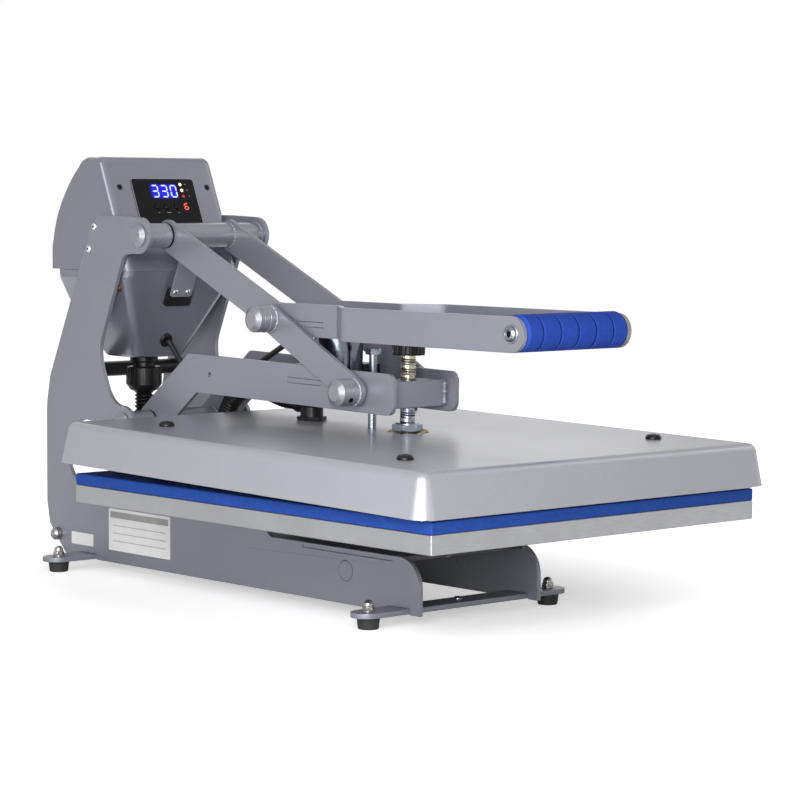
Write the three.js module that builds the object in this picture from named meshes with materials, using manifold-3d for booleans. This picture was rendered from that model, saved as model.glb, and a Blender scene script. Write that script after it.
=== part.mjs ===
// Clamshell heat press, closed, in millimetres: +X to the operator's right, +Y to the back, +Z up
import * as THREE from 'three';
import { mergeVertices } from 'three/addons/utils/BufferGeometryUtils.js';
import Module from 'manifold-3d';

const wasm = await Module();
wasm.setup();

// Clearances: between fitted pieces, round a turning shaft, and past a face that is cut
const fitGap = 0.3;
const runGap = 0.3;
const overrun = 2;

// Platens
const platenWidth = 406.4;
const platenDepth = 508;
const platenCornerRadius = 1.2;
const lowerPlatenThick = 17.5;
const padThick = 11;
const heatPlatenThick = 16;
const mountBossRadius = 20;
const mountBossHeight = 12.3;
const screwSeatDepth = 9;

// Frame side plates, measured from the lower platen's centre and the floor
const plateThick = 4.8;
const frameHalfWidth = 77.7;
const frameFrontY = -102.3;
const frameRearY = 485;
const frameBottomZ = 10.2;
const railTopZ = 62.4;
const platenSeatZ = 92.1;
const uprightTopZ = 368;
const noseRadius = 27.5;
const platenStepY = 108.7;
const platenStepRun = 7.9;
const throatY = 411.5;
const throatZ = 120;
const throatRadius = 35.5;
const lobeRadius = 18.5;

// Pivots and their one inch hardware
const topPivotY = 321;
const topPivotZ = 348;
const lowerPivotY = 350;
const lowerPivotZ = 155;
const shaftRadius = 9.5;
const hubRadius = 12.7;
const spacerInnerX = 43.3;
const shaftHeadRadius = 13.4;
const shaftHeadFaceRadius = 7.5;
const shaftHeadLength = 4.9;

// Deck under the lower platen
const deckFrontY = -78;
const deckRearY = 100;
const deckTabFrontY = -65;
const deckTabRearY = 62;
const channelHalfWidth = 50;
const channelFrontY = -110;

// Foot plates, feet and nuts
const footHeight = 11;
const footTopRadius = 11;
const footBaseRadius = 9.5;
const footX = 114.5;
const frontFootY = -74.6;
const rearFootY = 410.8;
const footPlateWidth = 29.5;
const footPlateReach = 2.2;
const studRadius = 3;
const studHeight = 23.5;
const nutRadius = 5.8;
const nutHeight = 10.8;

// Rear cross rods
const tieTubeRadius = 8;
const tieTubeInset = 34;
const tieTubeDrop = 14.7;
const tieBoltRadius = 4;
const tieBoltInset = 20.6;
const tieBoltZ = 31.2;
const capNutRadius = 6.75;
const capNutLength = 8;

// Handle
const handleRearX = 37.2;
const handleFrontX = 63.6;
const joggleRearY = 53.2;
const joggleFrontY = 17.5;
const joggleInnerRadius = 6;
const handleHalfHeight = 15.9;
const handleBendRadius = 12;
const handleFrontY = -208;
const toggleY = 147.2;
const toggleZ = 269.8;
const gripY = -208.7;
const gripZ = 270.8;
const gripTubeRadius = 11;
const foamRadius = 16.75;
const foamEndRadius = 3;
const foamGrooveCount = 5;
const foamGroovePitch = 22.1;
const foamGrooveDepth = 1.6;
const foamGrooveHalfWidth = 1.4;
const gripScrewRadius = 4;
const gripScrewHeadRadius = 8.7;
const gripScrewHeadHeight = 4.6;
const gripScrewLength = 24;
const strikerFrontY = 73.7;
const strikerRearY = 112.6;
const strikerGap = 0.5;

// Toggle links and their pins
const linkInnerX = 44.2;
const linkRadius = 14;
const armPinY = 24;
const armPinZ = 205.5;
const pinRadius = 8;
const linkBossEndX = 69;
const pinHeadLength = 3.2;
const pinHeadRing = 4.5;
const pinCollarRadius = 11;
const pinCollarLength = 2;
const setScrewRadius = 1.6;

// Platen arms, measured from the lower pivot before the closing tilt
const closingTiltDegrees = 1;
const armInnerX = 37.4;
const armHalfHeight = 19.4;
const armBarZ = 56.3;
const armKneeY = -70.3;
const armFrontY = -375;
const armFrontRadius = 9.5;
const armKneeOuterRadius = 4.5;
const armKneeInnerRadius = 6;
const armHoleY = -98.6;
const armHoleRadius = 2.5;
const crossBarSize = 25.4;
const crossBarZ = 54.8;

// Pressure screw
const screwY = -349;
const screwRadius = 7.95;
const collarRadius = 15;
const collarHeight = 7.5;
const knobRadius = 16;
const knobFluteRadius = 2.2;
const knobFluteCount = 12;
const knobEdge = 2.5;
const knobBottomZ = 91.1;
const knobHeight = 22;
const knobSocketDepth = 13;

// Magnet and what carries it
const bracketFrontY = -315;
const bracketRearY = -221.5;
const bracketTabFrontY = -270.5;
const bracketZ = 57.9;
const magnetRadius = 24;
const magnetY = -247.5;
const magnetHeight = 49.2;
const holderFrontY = -266.8;
const holderHeight = 13.4;

// Heat platen cover
const coverSideMargin = 16.3;
const coverEndMargin = 8.5;
const coverCentreY = -347.5;
const coverRimZ = -21.6;
const coverTopZ = 17.6;
const coverWall = 2.4;
const coverCornerRadius = 16.4;
const coverDraft = 6;
const coverEdgeRadius = 9;
const coverEdgeSteps = 4;
const screwWindowSize = 30;
const platenBottomZ = -23.3;

// Inside the cover
const heaterHeight = 8;
const heaterRuns = 6;
const heaterSideMargin = 38.2;
const heaterEndMargin = 49;
const blanketInset = 10;

// Guide bolt
const guideY = -298.6;
const guideRadius = 4;
const guideHeadRadius = 6.9;
const guideHeadHeight = 6;
const guideHeadZ = 88.3;

// Elbow gland on the cover
const elbowY = -208.7;
const elbowPortZ = 36.3;
const elbowPortY = -189.7;
const elbowRadius = 12.5;
const elbowStemRadius = 11.2;
const elbowFlangeRadius = 15;
const elbowFlangeHeight = 3.5;
const elbowThreadRadius = 7.5;
const elbowThreadDepth = 8;

// Control box
const hoodSideGap = 0.4;
const hoodWall = 2.4;
const hoodEdgeRadius = 8;
const hoodCornerRadius = 10;
const seamZ = 311;
const hoodHeight = 117.4;
const hoodFrontY = 345.7;
const hoodRearY = 481.4;
const faceRun = 49.3;
const binSideStep = 1.2;
const binFrontY = 350;
const binRearY = 476;
const binSkirtDepth = 8;
const binBendDepth = 43;
const binBendRearY = 472;
const binHeight = 92;
const binBottomHalfWidth = 31.5;
const binBottomFrontY = 387;
const binBottomRearY = 446;
const binCornerRadius = 10;

// Control panel, measured down the sloped face from the panel's top edge
const panelX = -1.3;
const panelHalfWidth = 39.9;
const panelTopDrop = 23.2;
const panelLength = 58.6;
const panelThick = 1.5;
const panelCornerRadius = 3;
const displayX = -0.8;
const displayHalfWidth = 17.5;
const displayTop = 5.2;
const displayBottom = 21.6;
const buttonDrop = 31.4;
const buttonX = [-14.2, -1.7, 10.8];
const buttonRadius = 3.4;
const buttonProud = 1.4;
const buttonLength = 8;
const boardDepth = 8;
const boardThick = 1.6;
const boardMargin = 4;

// Power inlet at the rear of the hood
const inletX = -24;
const inletRise = 15;
const inletWidth = 27;
const inletHeight = 19.4;
const inletDepth = 22;
const inletFlange = 3;
const inletFlangeThick = 2;
const inletRecess = 14;
const inletWall = 2.2;

// Handle switch on the sloped front of the lower shell
const switchWidth = 32;
const switchX = -1;
const switchHeight = 32;
const switchThick = 5;
const switchRise = 62;
const bracketPlateWidth = 27.4;
const bracketPlateX = -2.2;
const bracketPlateHeight = 46;
const bracketPlateThick = 2.3;
const bracketPlateRise = 74;
const bracketPlateRadius = 3;

// Gland, grommet, ribbed hose and magnet cable
const glandY = 417;
const glandDrop = 37.7;
const glandNutRadius = 19;
const glandNutDrop = 11;
const glandNeckRadius = 12;
const glandFlangeRadius = 15;
const glandThreadRadius = 9.7;
const glandThreadTop = 5;
const grommetRise = 20.7;
const grommetRadius = 7.8;
const grommetProud = 2.7;
const grommetNeckRadius = 5;
const hoseRadius = 10;
const hoseBore = 6.4;
const hoseRibDepth = 1.3;
const hoseRibPitch = 3.9;
const hoseSides = 8;
const hoseBoreEvery = 5;
const cableRadius = 2.9;
const cableSides = 8;
const cableSteps = 26;

// Round work: steps in a full turn, and in each half of an outline's arc
const turnSteps = 20;
const smallTurnSteps = 12;
const fineTurnSteps = 32;
const arcSteps = 2;
const fineArcSteps = 4;
const hexSteps = 6;
const hoodEdgeSteps = 3;
const routeDivisions = 800;

// Places worked out from the sizes above
const uprightInnerX = frameHalfWidth - plateThick;
const deckBottomZ = railTopZ - plateThick;
const shaftBoreRadius = shaftRadius + runGap;
const pinBoreRadius = pinRadius + runGap;
const closingTilt = THREE.MathUtils.degToRad(closingTiltDegrees);
const heatPlatenTopZ = platenBottomZ + heatPlatenThick;
const heaterTopZ = heatPlatenTopZ + fitGap + heaterHeight;
const coverHalfWidth = platenWidth / 2 + coverSideMargin;
const coverDepth = platenDepth + 2 * coverEndMargin;
const coverFrontLocalY = coverCentreY - coverDepth / 2;
const coverRimFrontY = coverFrontLocalY * Math.cos(closingTilt) - coverRimZ * Math.sin(closingTilt);
const footprintCentreY = (lowerPivotY + coverRimFrontY + frameRearY) / 2;
const heaterHalfDepth = platenDepth / 2 - heaterEndMargin;
const heaterRunPitch = (platenWidth - 2 * heaterSideMargin) / (heaterRuns - 1);
const hoodHalfWidth = uprightInnerX - hoodSideGap;
const hoodTopZ = seamZ + hoodHeight;
const faceLean = faceRun / hoodHeight;
const panelTopZ = hoodTopZ - panelTopDrop;
const inletZ = seamZ + inletRise;
const binHalfWidth = hoodHalfWidth - binSideStep;
const binSkirtZ = seamZ - binSkirtDepth;
const binBendZ = seamZ - binBendDepth;
const binBottomZ = seamZ - binHeight;
const glandBottomZ = binBottomZ - glandDrop;
const glandNutTopZ = binBottomZ - glandNutDrop;
const tieTubeZ = binBottomZ - tieTubeDrop;
const tieTubeY = frameRearY - tieTubeInset;
const tieBoltY = frameRearY - tieBoltInset;
const binFrontRun = binBottomFrontY - binFrontY;
const binFrontRise = binSkirtZ - binBottomZ;

// Outline points of the upright, as shares of its depth behind and rise above the lower pivot
const uprightFrontShares = [[-0.104, 0.904], [-0.013, 0.904], [0.016, 0.85], [0.266, 0.446], [0.307, 0.378],
  [0.259, 0.285], [0.189, 0.181], [0.118, 0.096]];
// Rear edge, as shares of the depth behind the lower pivot and of the upright's height over the floor
const uprightRearShares = [[0.081, 1], [0.289, 1], [0.319, 0.996], [0.422, 0.952], [0.952, 0.538],
  [0.993, 0.468], [1, 0.44], [1, 0.177], [0.963, 0.111], [0.76, 0.037], [0.726, 0.0277]];
// Rear of the hood, as shares of its depth and height
const hoodRearShares = [[0.64, 0.913], [0.732, 0.813], [0.807, 0.706], [0.883, 0.579], [0.937, 0.456],
  [0.971, 0.34], [0.989, 0.244], [1, 0.213]];
const hoodTopRearShare = 0.589;
// Turned forms, each point as shares of the piece's height and of its radius
const nutDomeShares = [[0, 1], [0.42, 1], [0.42, 0.82], [0.74, 0.7], [0.92, 0.42], [1, 0.1]];
const glandNutShares = [[0, 0.53], [0.11, 0.8], [0.32, 1], [0.94, 1], [1, 0.94]];
const grommetShares = [[0, 1], [0.5, 1], [1, 0.8]];
const gripScrewHeadShares = [[0, 1], [0.5, 0.93], [1, 0.6]];
const capNutShares = [[0, 1], [0.65, 1], [1, 0.4]];
// Where the throat's arc ends and the lower lobe's begins, as shares of a half turn
const throatEndShare = 5 / 9;
const lobeStartShare = -7 / 18;

// Routes of the hose and the cable, in X, Y, Z
const hoseRoute = [[0, 417, 181], [0, 417, 171], [0, 416.5, 160], [2, 405, 130], [4, 374, 109], [5, 337, 108],
  [5, 308, 124], [4, 288, 153], [3, 266, 184], [2, 234, 199], [1, 205, 193], [0, 181, 188.3], [0, 171, 188],
  [0, 160.1, 188]];
const cableRoute = [[0, 375, 236.1], [0, 369.4, 233.3], [-2, 354, 220], [-5, 330, 204], [-7, 282, 201],
  [-8, 240, 210], [-7, 206, 226], [-5, 180, 240], [-3, 158, 251], [-1, 142, 256.5], [0, 132, 257.5],
  [0, 125.4, 257.5]];

// Finishes
function finish(color, roughness, metalness) {
  return new THREE.MeshStandardMaterial({ color, roughness, metalness });
}
const framePaint = finish(0x6f7078, 0.45, 0.3);
const coverPaint = finish(0x9a9ba2, 0.35, 0.35);
const bareAluminium = finish(0xc6c8ca, 0.35, 0.9);
const plainSteel = finish(0x8e8f92, 0.4, 0.9);
const zincSteel = finish(0xbcb59c, 0.3, 0.9);
const nickel = finish(0xd8d8d6, 0.2, 1);
const chrome = finish(0xe4e6ea, 0.08, 1);
const blackPlastic = finish(0x141416, 0.45, 0);
const blackRubber = finish(0x1b1b1c, 0.8, 0);
const blueSilicone = finish(0x1f6fb8, 0.7, 0);
const blueFoam = finish(0x2456a4, 0.9, 0);
const panelBlack = finish(0x101214, 0.25, 0);
const boardGreen = finish(0x1d5a34, 0.5, 0);
const insulationBeige = finish(0xd9c9a0, 0.95, 0);

// Solids: joins, cuts and the mesh's facing
function faceOut(geometry) {
  const bare = geometry.clone();
  bare.deleteAttribute('normal');
  bare.deleteAttribute('uv');
  const merged = mergeVertices(bare);
  const points = merged.attributes.position;
  const corners = [];
  const [a, b, c] = [new THREE.Vector3(), new THREE.Vector3(), new THREE.Vector3()];
  let volume = 0;
  for (let i = 0; i < merged.index.count; i += 3) {
    const [p, q, r] = [merged.index.getX(i), merged.index.getX(i + 1), merged.index.getX(i + 2)];
    if (p === q || q === r || r === p) continue;
    corners.push(p, q, r);
    a.fromBufferAttribute(points, p);
    b.fromBufferAttribute(points, q);
    c.fromBufferAttribute(points, r);
    volume += a.dot(b.cross(c));
  }
  if (volume < 0) corners.reverse();
  merged.setIndex(corners);
  return merged;
}

function solidOf(geometry) {
  const closed = faceOut(geometry);
  return new wasm.Manifold(new wasm.Mesh({
    numProp: 3,
    vertProperties: closed.attributes.position.array,
    triVerts: new Uint32Array(closed.index.array),
  }));
}

function geometryOf(solid) {
  const mesh = solid.getMesh();
  const geometry = new THREE.BufferGeometry();
  geometry.setAttribute('position', new THREE.BufferAttribute(mesh.vertProperties, 3));
  geometry.setIndex(new THREE.BufferAttribute(mesh.triVerts, 1));
  geometry.computeVertexNormals();
  return geometry;
}

const less = (rest, tool) => rest.subtract(solidOf(tool));
const cut = (body, ...tools) => geometryOf(tools.reduce(less, solidOf(body)));
const join = (...bodies) => geometryOf(bodies.map(solidOf).reduce((whole, body) => whole.add(body)));
const common = (first, second) => geometryOf(solidOf(first).intersect(solidOf(second)));

// Outlines
function roundedOutline(corners) {
  const outline = new THREE.Shape();
  corners.forEach(([x, y, radius], i) => {
    const before = corners.at(i - 1);
    const after = corners[(i + 1) % corners.length];
    const corner = new THREE.Vector2(x, y);
    if (!radius) {
      if (i) outline.lineTo(x, y);
      else outline.moveTo(x, y);
      return;
    }
    const back = new THREE.Vector2(before[0], before[1]).sub(corner).normalize();
    const ahead = new THREE.Vector2(after[0], after[1]).sub(corner).normalize();
    const half = Math.acos(back.dot(ahead)) / 2;
    const centre = back.clone().add(ahead).normalize().multiplyScalar(radius / Math.sin(half)).add(corner);
    const start = back.clone().multiplyScalar(radius / Math.tan(half)).add(corner);
    const end = ahead.clone().multiplyScalar(radius / Math.tan(half)).add(corner).sub(centre);
    if (i) outline.lineTo(start.x, start.y);
    start.sub(centre);
    outline.absarc(centre.x, centre.y, radius, start.angle(), end.angle(), back.cross(ahead) > 0);
  });
  outline.closePath();
  return outline;
}

function roundedRectangle(x0, x1, y0, y1, radius) {
  return roundedOutline([[x0, y0, radius], [x1, y0, radius], [x1, y1, radius], [x0, y1, radius]]);
}

// A strip of constant width along a bent line. A fully round end passes its point by its radius
function bandOutline(line, halfWidth, outerRadius, innerRadius, startRadius, endRadius) {
  const points = line.map(([x, y]) => new THREE.Vector2(x, y));
  const last = points.length - 1;
  const leaving = (i) => points[i + 1].clone().sub(points[i]).normalize();
  const leftOf = (direction) => new THREE.Vector2(-direction.y, direction.x);
  const side = (sign) => points.map((point, i) => {
    if (i === 0 || i === last) {
      const direction = leaving(i ? i - 1 : 0);
      const radius = i ? endRadius : startRadius;
      const reach = radius < halfWidth ? 0 : radius;
      const tip = point.clone().addScaledVector(direction, i ? reach : -reach);
      tip.addScaledVector(leftOf(direction), sign * halfWidth);
      return [tip.x, tip.y, radius];
    }
    const arriving = leaving(i - 1);
    const mitre = leftOf(arriving).add(leftOf(leaving(i))).normalize();
    const reach = halfWidth / mitre.dot(leftOf(arriving));
    const turnsLeft = arriving.cross(leaving(i)) > 0;
    const corner = point.clone().addScaledVector(mitre, sign * reach);
    return [corner.x, corner.y, turnsLeft === (sign > 0) ? innerRadius : outerRadius];
  });
  return roundedOutline([...side(-1), ...side(1).reverse()]);
}

function circlePath(x, y, radius) {
  return new THREE.Path(Array.from({ length: smallTurnSteps }, (_, i) => {
    const angle = 2 * Math.PI * i / smallTurnSteps;
    return new THREE.Vector2(x + radius * Math.cos(angle), y + radius * Math.sin(angle));
  }));
}

// Prisms along each axis
function planPrism(outline, z0, z1, curveSegments = arcSteps) {
  const geometry = new THREE.ExtrudeGeometry(outline, { depth: z1 - z0, bevelEnabled: false, curveSegments });
  return geometry.translate(0, 0, z0);
}

const sideAxes = new THREE.Matrix4().makeBasis(
  new THREE.Vector3(0, 1, 0), new THREE.Vector3(0, 0, 1), new THREE.Vector3(1, 0, 0));

function sidePrism(outline, x0, x1, curveSegments = arcSteps) {
  const geometry = new THREE.ExtrudeGeometry(outline, { depth: x1 - x0, bevelEnabled: false, curveSegments });
  return geometry.applyMatrix4(sideAxes).translate(x0, 0, 0);
}

function block(x0, x1, y0, y1, z0, z1) {
  const geometry = new THREE.BoxGeometry(x1 - x0, y1 - y0, z1 - z0);
  return geometry.translate((x0 + x1) / 2, (y0 + y1) / 2, (z0 + z1) / 2);
}

// Turned pieces: each profile is a list of [place along the axis, radius]
function turned(profile, steps = turnSteps) {
  const points = profile.map(([along, radius]) => new THREE.Vector2(radius, along));
  return faceOut(new THREE.LatheGeometry(points, steps));
}

// A table of shares as a profile, from a seat up its height
function scaled(shares, seat, height, radius) {
  return shares.map(([up, out]) => [seat + up * height, out * radius]);
}

const alongX = (geometry) => geometry.rotateZ(-Math.PI / 2);
const alongZ = (geometry) => geometry.rotateX(Math.PI / 2);

function rod(radius, start, end, steps = turnSteps) {
  return turned([[start, 0], [start, radius], [end, radius], [end, 0]], steps);
}

function tube(radius, bore, start, end, steps = turnSteps) {
  return turned([[start, bore], [start, radius], [end, radius], [end, bore], [start, bore]], steps);
}

const rodX = (radius, x0, x1, y, z, steps) => alongX(rod(radius, x0, x1, steps)).translate(0, y, z);
const tubeX = (radius, bore, x0, x1, y, z) => alongX(tube(radius, bore, x0, x1)).translate(0, y, z);
const rodZ = (radius, z0, z1, x, y, steps) => alongZ(rod(radius, z0, z1, steps)).translate(x, y, 0);
const hexZ = (radius, z0, z1, x, y) => rodZ(radius, z0, z1, x, y, hexSteps);

// A skin through a row of rings with equally many points, closed at its ends or back on itself
function loft(rings, backToStart) {
  const count = rings[0].length;
  const positions = rings.flat().flatMap((point) => [point.x, point.y, point.z]);
  const corners = [];
  const joins = backToStart ? rings.length : rings.length - 1;
  for (let r = 0; r < joins; r += 1) {
    const next = (r + 1) % rings.length;
    for (let i = 0; i < count; i += 1) {
      const j = (i + 1) % count;
      corners.push(r * count + i, r * count + j, next * count + j);
      corners.push(r * count + i, next * count + j, next * count + i);
    }
  }
  const last = (rings.length - 1) * count;
  for (let i = 1; i < count - 1 && !backToStart; i += 1) {
    corners.push(0, i + 1, i);
    corners.push(last, last + i, last + i + 1);
  }
  const geometry = new THREE.BufferGeometry();
  geometry.setAttribute('position', new THREE.Float32BufferAttribute(positions, 3));
  geometry.setIndex(corners);
  return faceOut(geometry);
}

function ring(x0, x1, y0, y1, radius, z) {
  const outline = roundedRectangle(x0, x1, y0, y1, radius);
  const points = outline.getPoints(arcSteps).slice(0, -1);
  return points.map((point) => new THREE.Vector3(point.x, point.y, z));
}

// Adds a named piece to a group
function piece(parent, name, geometry, material) {
  const mesh = new THREE.Mesh(geometry, material);
  mesh.name = name;
  parent.add(mesh);
}

const sides = [['left', -1], ['right', 1]];
// The span between two distances from the middle, on the side that the sign names
const span = (sign, inner, outer) => (sign < 0 ? [-outer, -inner] : [inner, outer]);

// Frame: rail, throat and upright of each side in one plate
function topNotch(outline, y0, y1, depthZ) {
  outline.lineTo(y0, railTopZ);
  outline.lineTo(y0, depthZ);
  outline.lineTo(y1, depthZ);
  outline.lineTo(y1, railTopZ);
}

function footNotch(outline, centreY) {
  const top = footHeight + plateThick + fitGap;
  const half = footPlateWidth / 2 + fitGap;
  outline.lineTo(centreY + half, frameBottomZ);
  outline.lineTo(centreY + half, top);
  outline.lineTo(centreY - half, top);
  outline.lineTo(centreY - half, frameBottomZ);
}

function sidePlateOutline() {
  const depth = frameRearY - lowerPivotY;
  const rise = topPivotZ - lowerPivotZ;
  const front = uprightFrontShares.map(([y, z]) => [lowerPivotY + y * depth, lowerPivotZ + z * rise]);
  const rear = uprightRearShares.map(([y, z]) => [lowerPivotY + y * depth, z * uprightTopZ]);
  const outline = new THREE.Shape();
  outline.moveTo(frameFrontY, frameBottomZ);
  outline.lineTo(frameFrontY, railTopZ - noseRadius);
  outline.absarc(frameFrontY + noseRadius, railTopZ - noseRadius, noseRadius, Math.PI, Math.PI / 2, true);
  topNotch(outline, deckTabFrontY - fitGap, deckTabRearY + fitGap, deckBottomZ - fitGap);
  outline.lineTo(platenStepY, railTopZ);
  outline.lineTo(platenStepY + platenStepRun, platenSeatZ);
  outline.lineTo(platenDepth / 2, platenSeatZ);
  outline.absarc(throatY, throatZ, throatRadius, -Math.PI / 2, Math.PI * throatEndShare, false);
  outline.absarc(lowerPivotY, lowerPivotZ, lobeRadius, Math.PI * lobeStartShare, Math.PI / 2, true);
  outline.quadraticCurveTo(...front[7], ...front[6]);
  outline.lineTo(...front[5]);
  outline.quadraticCurveTo(...front[4], ...front[3]);
  outline.lineTo(...front[2]);
  outline.quadraticCurveTo(...front[1], ...front[0]);
  outline.absarc(topPivotY, topPivotZ, lobeRadius, -Math.PI / 2, Math.PI / 2, true);
  rear.forEach(([y, z]) => outline.lineTo(y, z));
  footNotch(outline, rearFootY);
  footNotch(outline, frontFootY);
  outline.closePath();
  return outline;
}

function sidePlate(sign) {
  const plate = sidePrism(sidePlateOutline(), ...span(sign, uprightInnerX, frameHalfWidth), fineArcSteps);
  const reach = span(sign, spacerInnerX, frameHalfWidth - plateThick / 2);
  const through = span(sign, spacerInnerX - overrun, frameHalfWidth + overrun);
  const topSpacer = rodX(hubRadius, ...reach, topPivotY, topPivotZ);
  const lowerSpacer = rodX(hubRadius, ...reach, lowerPivotY, lowerPivotZ);
  return cut(
    join(plate, topSpacer, lowerSpacer),
    rodX(shaftBoreRadius, ...through, topPivotY, topPivotZ),
    rodX(shaftBoreRadius, ...through, lowerPivotY, lowerPivotZ),
    rodX(tieBoltRadius + fitGap, ...through, tieBoltY, tieBoltZ, smallTurnSteps));
}

// A cross plate whose round ends pass out through the side plates and carry two feet
function footPlate(centreY) {
  const tip = footX + footPlateReach;
  const outline = new THREE.Shape();
  outline.moveTo(0, centreY - footPlateWidth / 2);
  outline.absarc(tip, centreY, footPlateWidth / 2, -Math.PI / 2, Math.PI / 2, false);
  outline.absarc(-tip, centreY, footPlateWidth / 2, Math.PI / 2, -Math.PI / 2, false);
  outline.closePath();
  for (const x of [-footX, footX]) outline.holes.push(circlePath(x, centreY, studRadius + fitGap));
  return planPrism(outline, footHeight, footHeight + plateThick, fineArcSteps);
}

// A rubber foot moulded on its stud
function foot() {
  return alongZ(turned([[0, 0], [0, footBaseRadius], [footHeight, footTopRadius], [footHeight, studRadius],
    [studHeight, studRadius], [studHeight, 0]], smallTurnSteps));
}

function acornNut() {
  const base = footHeight + plateThick;
  const profile = [[base, 0], ...scaled(nutDomeShares, base, nutHeight, nutRadius), [base + nutHeight, 0]];
  const hex = hexZ(nutRadius, base, base + nutHeight, 0, 0);
  const socket = rodZ(studRadius + fitGap, base - overrun, studHeight + fitGap, 0, 0, smallTurnSteps);
  return cut(common(alongZ(turned(profile, smallTurnSteps)), hex), socket);
}

// Deck between the side plates with the channel that carries the lower platen
function platenSupport() {
  const half = uprightInnerX - fitGap;
  const deck = planPrism(roundedRectangle(-half, half, deckFrontY, deckRearY, 0), deckBottomZ, railTopZ);
  const tabs = block(-frameHalfWidth, frameHalfWidth, deckTabFrontY, deckTabRearY, deckBottomZ, railTopZ);
  const channel = block(-channelHalfWidth, channelHalfWidth, channelFrontY, deckRearY, deckBottomZ,
    platenSeatZ);
  const inner = channelHalfWidth - plateThick;
  const [ahead, behind] = [channelFrontY - overrun, deckRearY + overrun];
  const tunnel = block(-inner, inner, ahead, behind, railTopZ, platenSeatZ - plateThick);
  const beside = channelHalfWidth + overrun;
  const underNose = block(-beside, beside, ahead, deckFrontY, deckBottomZ - overrun, railTopZ);
  return cut(join(deck, tabs, channel), tunnel, underNose);
}

function platenOutline(centreY) {
  const [halfWidth, halfDepth] = [platenWidth / 2, platenDepth / 2];
  const [front, rear] = [centreY - halfDepth, centreY + halfDepth];
  return roundedRectangle(-halfWidth, halfWidth, front, rear, platenCornerRadius);
}

// A shaft across the frame with a chamfered head on each outer face
function pivotShaft(y, z) {
  const seat = frameHalfWidth + fitGap;
  const tip = frameHalfWidth + shaftHeadLength;
  const profile = [[-tip, 0], [-tip, shaftHeadFaceRadius], [-seat, shaftHeadRadius], [-seat, shaftRadius],
    [seat, shaftRadius], [seat, shaftHeadRadius], [tip, shaftHeadFaceRadius], [tip, 0]];
  return alongX(turned(profile)).translate(0, y, z);
}

function tieBolt() {
  const seat = frameHalfWidth + fitGap;
  const nut = scaled(capNutShares, seat, capNutLength, capNutRadius);
  const half = [[seat, tieBoltRadius], ...nut, [seat + capNutLength, 0]];
  const profile = [...half.map(([x, radius]) => [-x, radius]).reverse(), ...half];
  return alongX(turned(profile, smallTurnSteps)).translate(0, tieBoltY, tieBoltZ);
}

function buildFrame(group) {
  for (const [side, sign] of sides) piece(group, `side_plate_${side}`, sidePlate(sign), framePaint);
  piece(group, 'front_foot_plate', footPlate(frontFootY), framePaint);
  piece(group, 'rear_foot_plate', footPlate(rearFootY), framePaint);
  for (const [end, y] of [['front', frontFootY], ['rear', rearFootY]]) {
    for (const [side, sign] of sides) {
      piece(group, `rubber_foot_${end}_${side}`, foot().translate(sign * footX, y, 0), blackRubber);
      piece(group, `acorn_nut_${end}_${side}`, acornNut().translate(sign * footX, y, 0), nickel);
    }
  }
  piece(group, 'platen_support', platenSupport(), framePaint);
  const padZ = platenSeatZ + lowerPlatenThick;
  piece(group, 'lower_platen', planPrism(platenOutline(0), platenSeatZ, padZ), bareAluminium);
  piece(group, 'silicone_pad', planPrism(platenOutline(0), padZ, padZ + padThick), blueSilicone);
  const tieSpan = [-uprightInnerX, uprightInnerX];
  piece(group, 'rear_tie_tube', rodX(tieTubeRadius, ...tieSpan, tieTubeY, tieTubeZ), blackPlastic);
  piece(group, 'rear_tie_bolt', tieBolt(), plainSteel);
  piece(group, 'top_pivot_shaft', pivotShaft(topPivotY, topPivotZ), framePaint);
  piece(group, 'lower_pivot_shaft', pivotShaft(lowerPivotY, lowerPivotZ), framePaint);
}

// Control box: the hood's side outline, running down past the seam
function hoodOutline() {
  const depth = hoodRearY - hoodFrontY;
  const height = hoodTopZ - seamZ;
  const below = seamZ - 2 * hoodEdgeRadius;
  const rear = hoodRearShares.map(([y, z]) => [hoodFrontY + y * depth, seamZ + z * height, 0]);
  return roundedOutline([
    [hoodFrontY - faceLean * (seamZ - below), below, 0],
    [hoodFrontY + faceLean * height, hoodTopZ, hoodCornerRadius],
    [hoodFrontY + hoodTopRearShare * depth, hoodTopZ, hoodCornerRadius],
    ...rear,
    [hoodRearY, below, 0],
  ]);
}

// The hood's outer form, or its hollow when inset by the wall
function hoodForm(inset) {
  const round = hoodEdgeRadius - inset;
  const geometry = new THREE.ExtrudeGeometry(hoodOutline(), {
    depth: 2 * (hoodHalfWidth - hoodEdgeRadius),
    bevelThickness: round,
    bevelSize: round,
    bevelOffset: -hoodEdgeRadius,
    bevelSegments: hoodEdgeSteps,
    curveSegments: arcSteps,
  });
  return geometry.applyMatrix4(sideAxes).translate(hoodEdgeRadius - hoodHalfWidth, 0, 0);
}

// Moves a piece drawn flat on the sloped face, from the panel's top edge, to its place
const faceTurn = Math.PI / 2 - Math.atan(faceLean);
const panelTopY = hoodFrontY + faceLean * (panelTopZ - seamZ);
const onFace = (geometry) => geometry.rotateX(faceTurn).translate(panelX, panelTopY, panelTopZ);

function inletWindow(margin) {
  const half = inletWidth / 2 + margin;
  const rise = inletHeight / 2 + margin;
  return block(inletX - half, inletX + half, hoodRearY - inletDepth - overrun, hoodRearY + overrun,
    inletZ - rise, inletZ + rise);
}

function controlHood() {
  const below = block(-frameHalfWidth, frameHalfWidth, 0, hoodRearY + overrun, 0, seamZ);
  const window = onFace(block(boardMargin - panelHalfWidth, panelHalfWidth - boardMargin,
    boardMargin - panelLength, -boardMargin, -boardDepth + overrun, overrun));
  return cut(hoodForm(0), hoodForm(hoodWall), below, window, inletWindow(fitGap));
}

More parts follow.
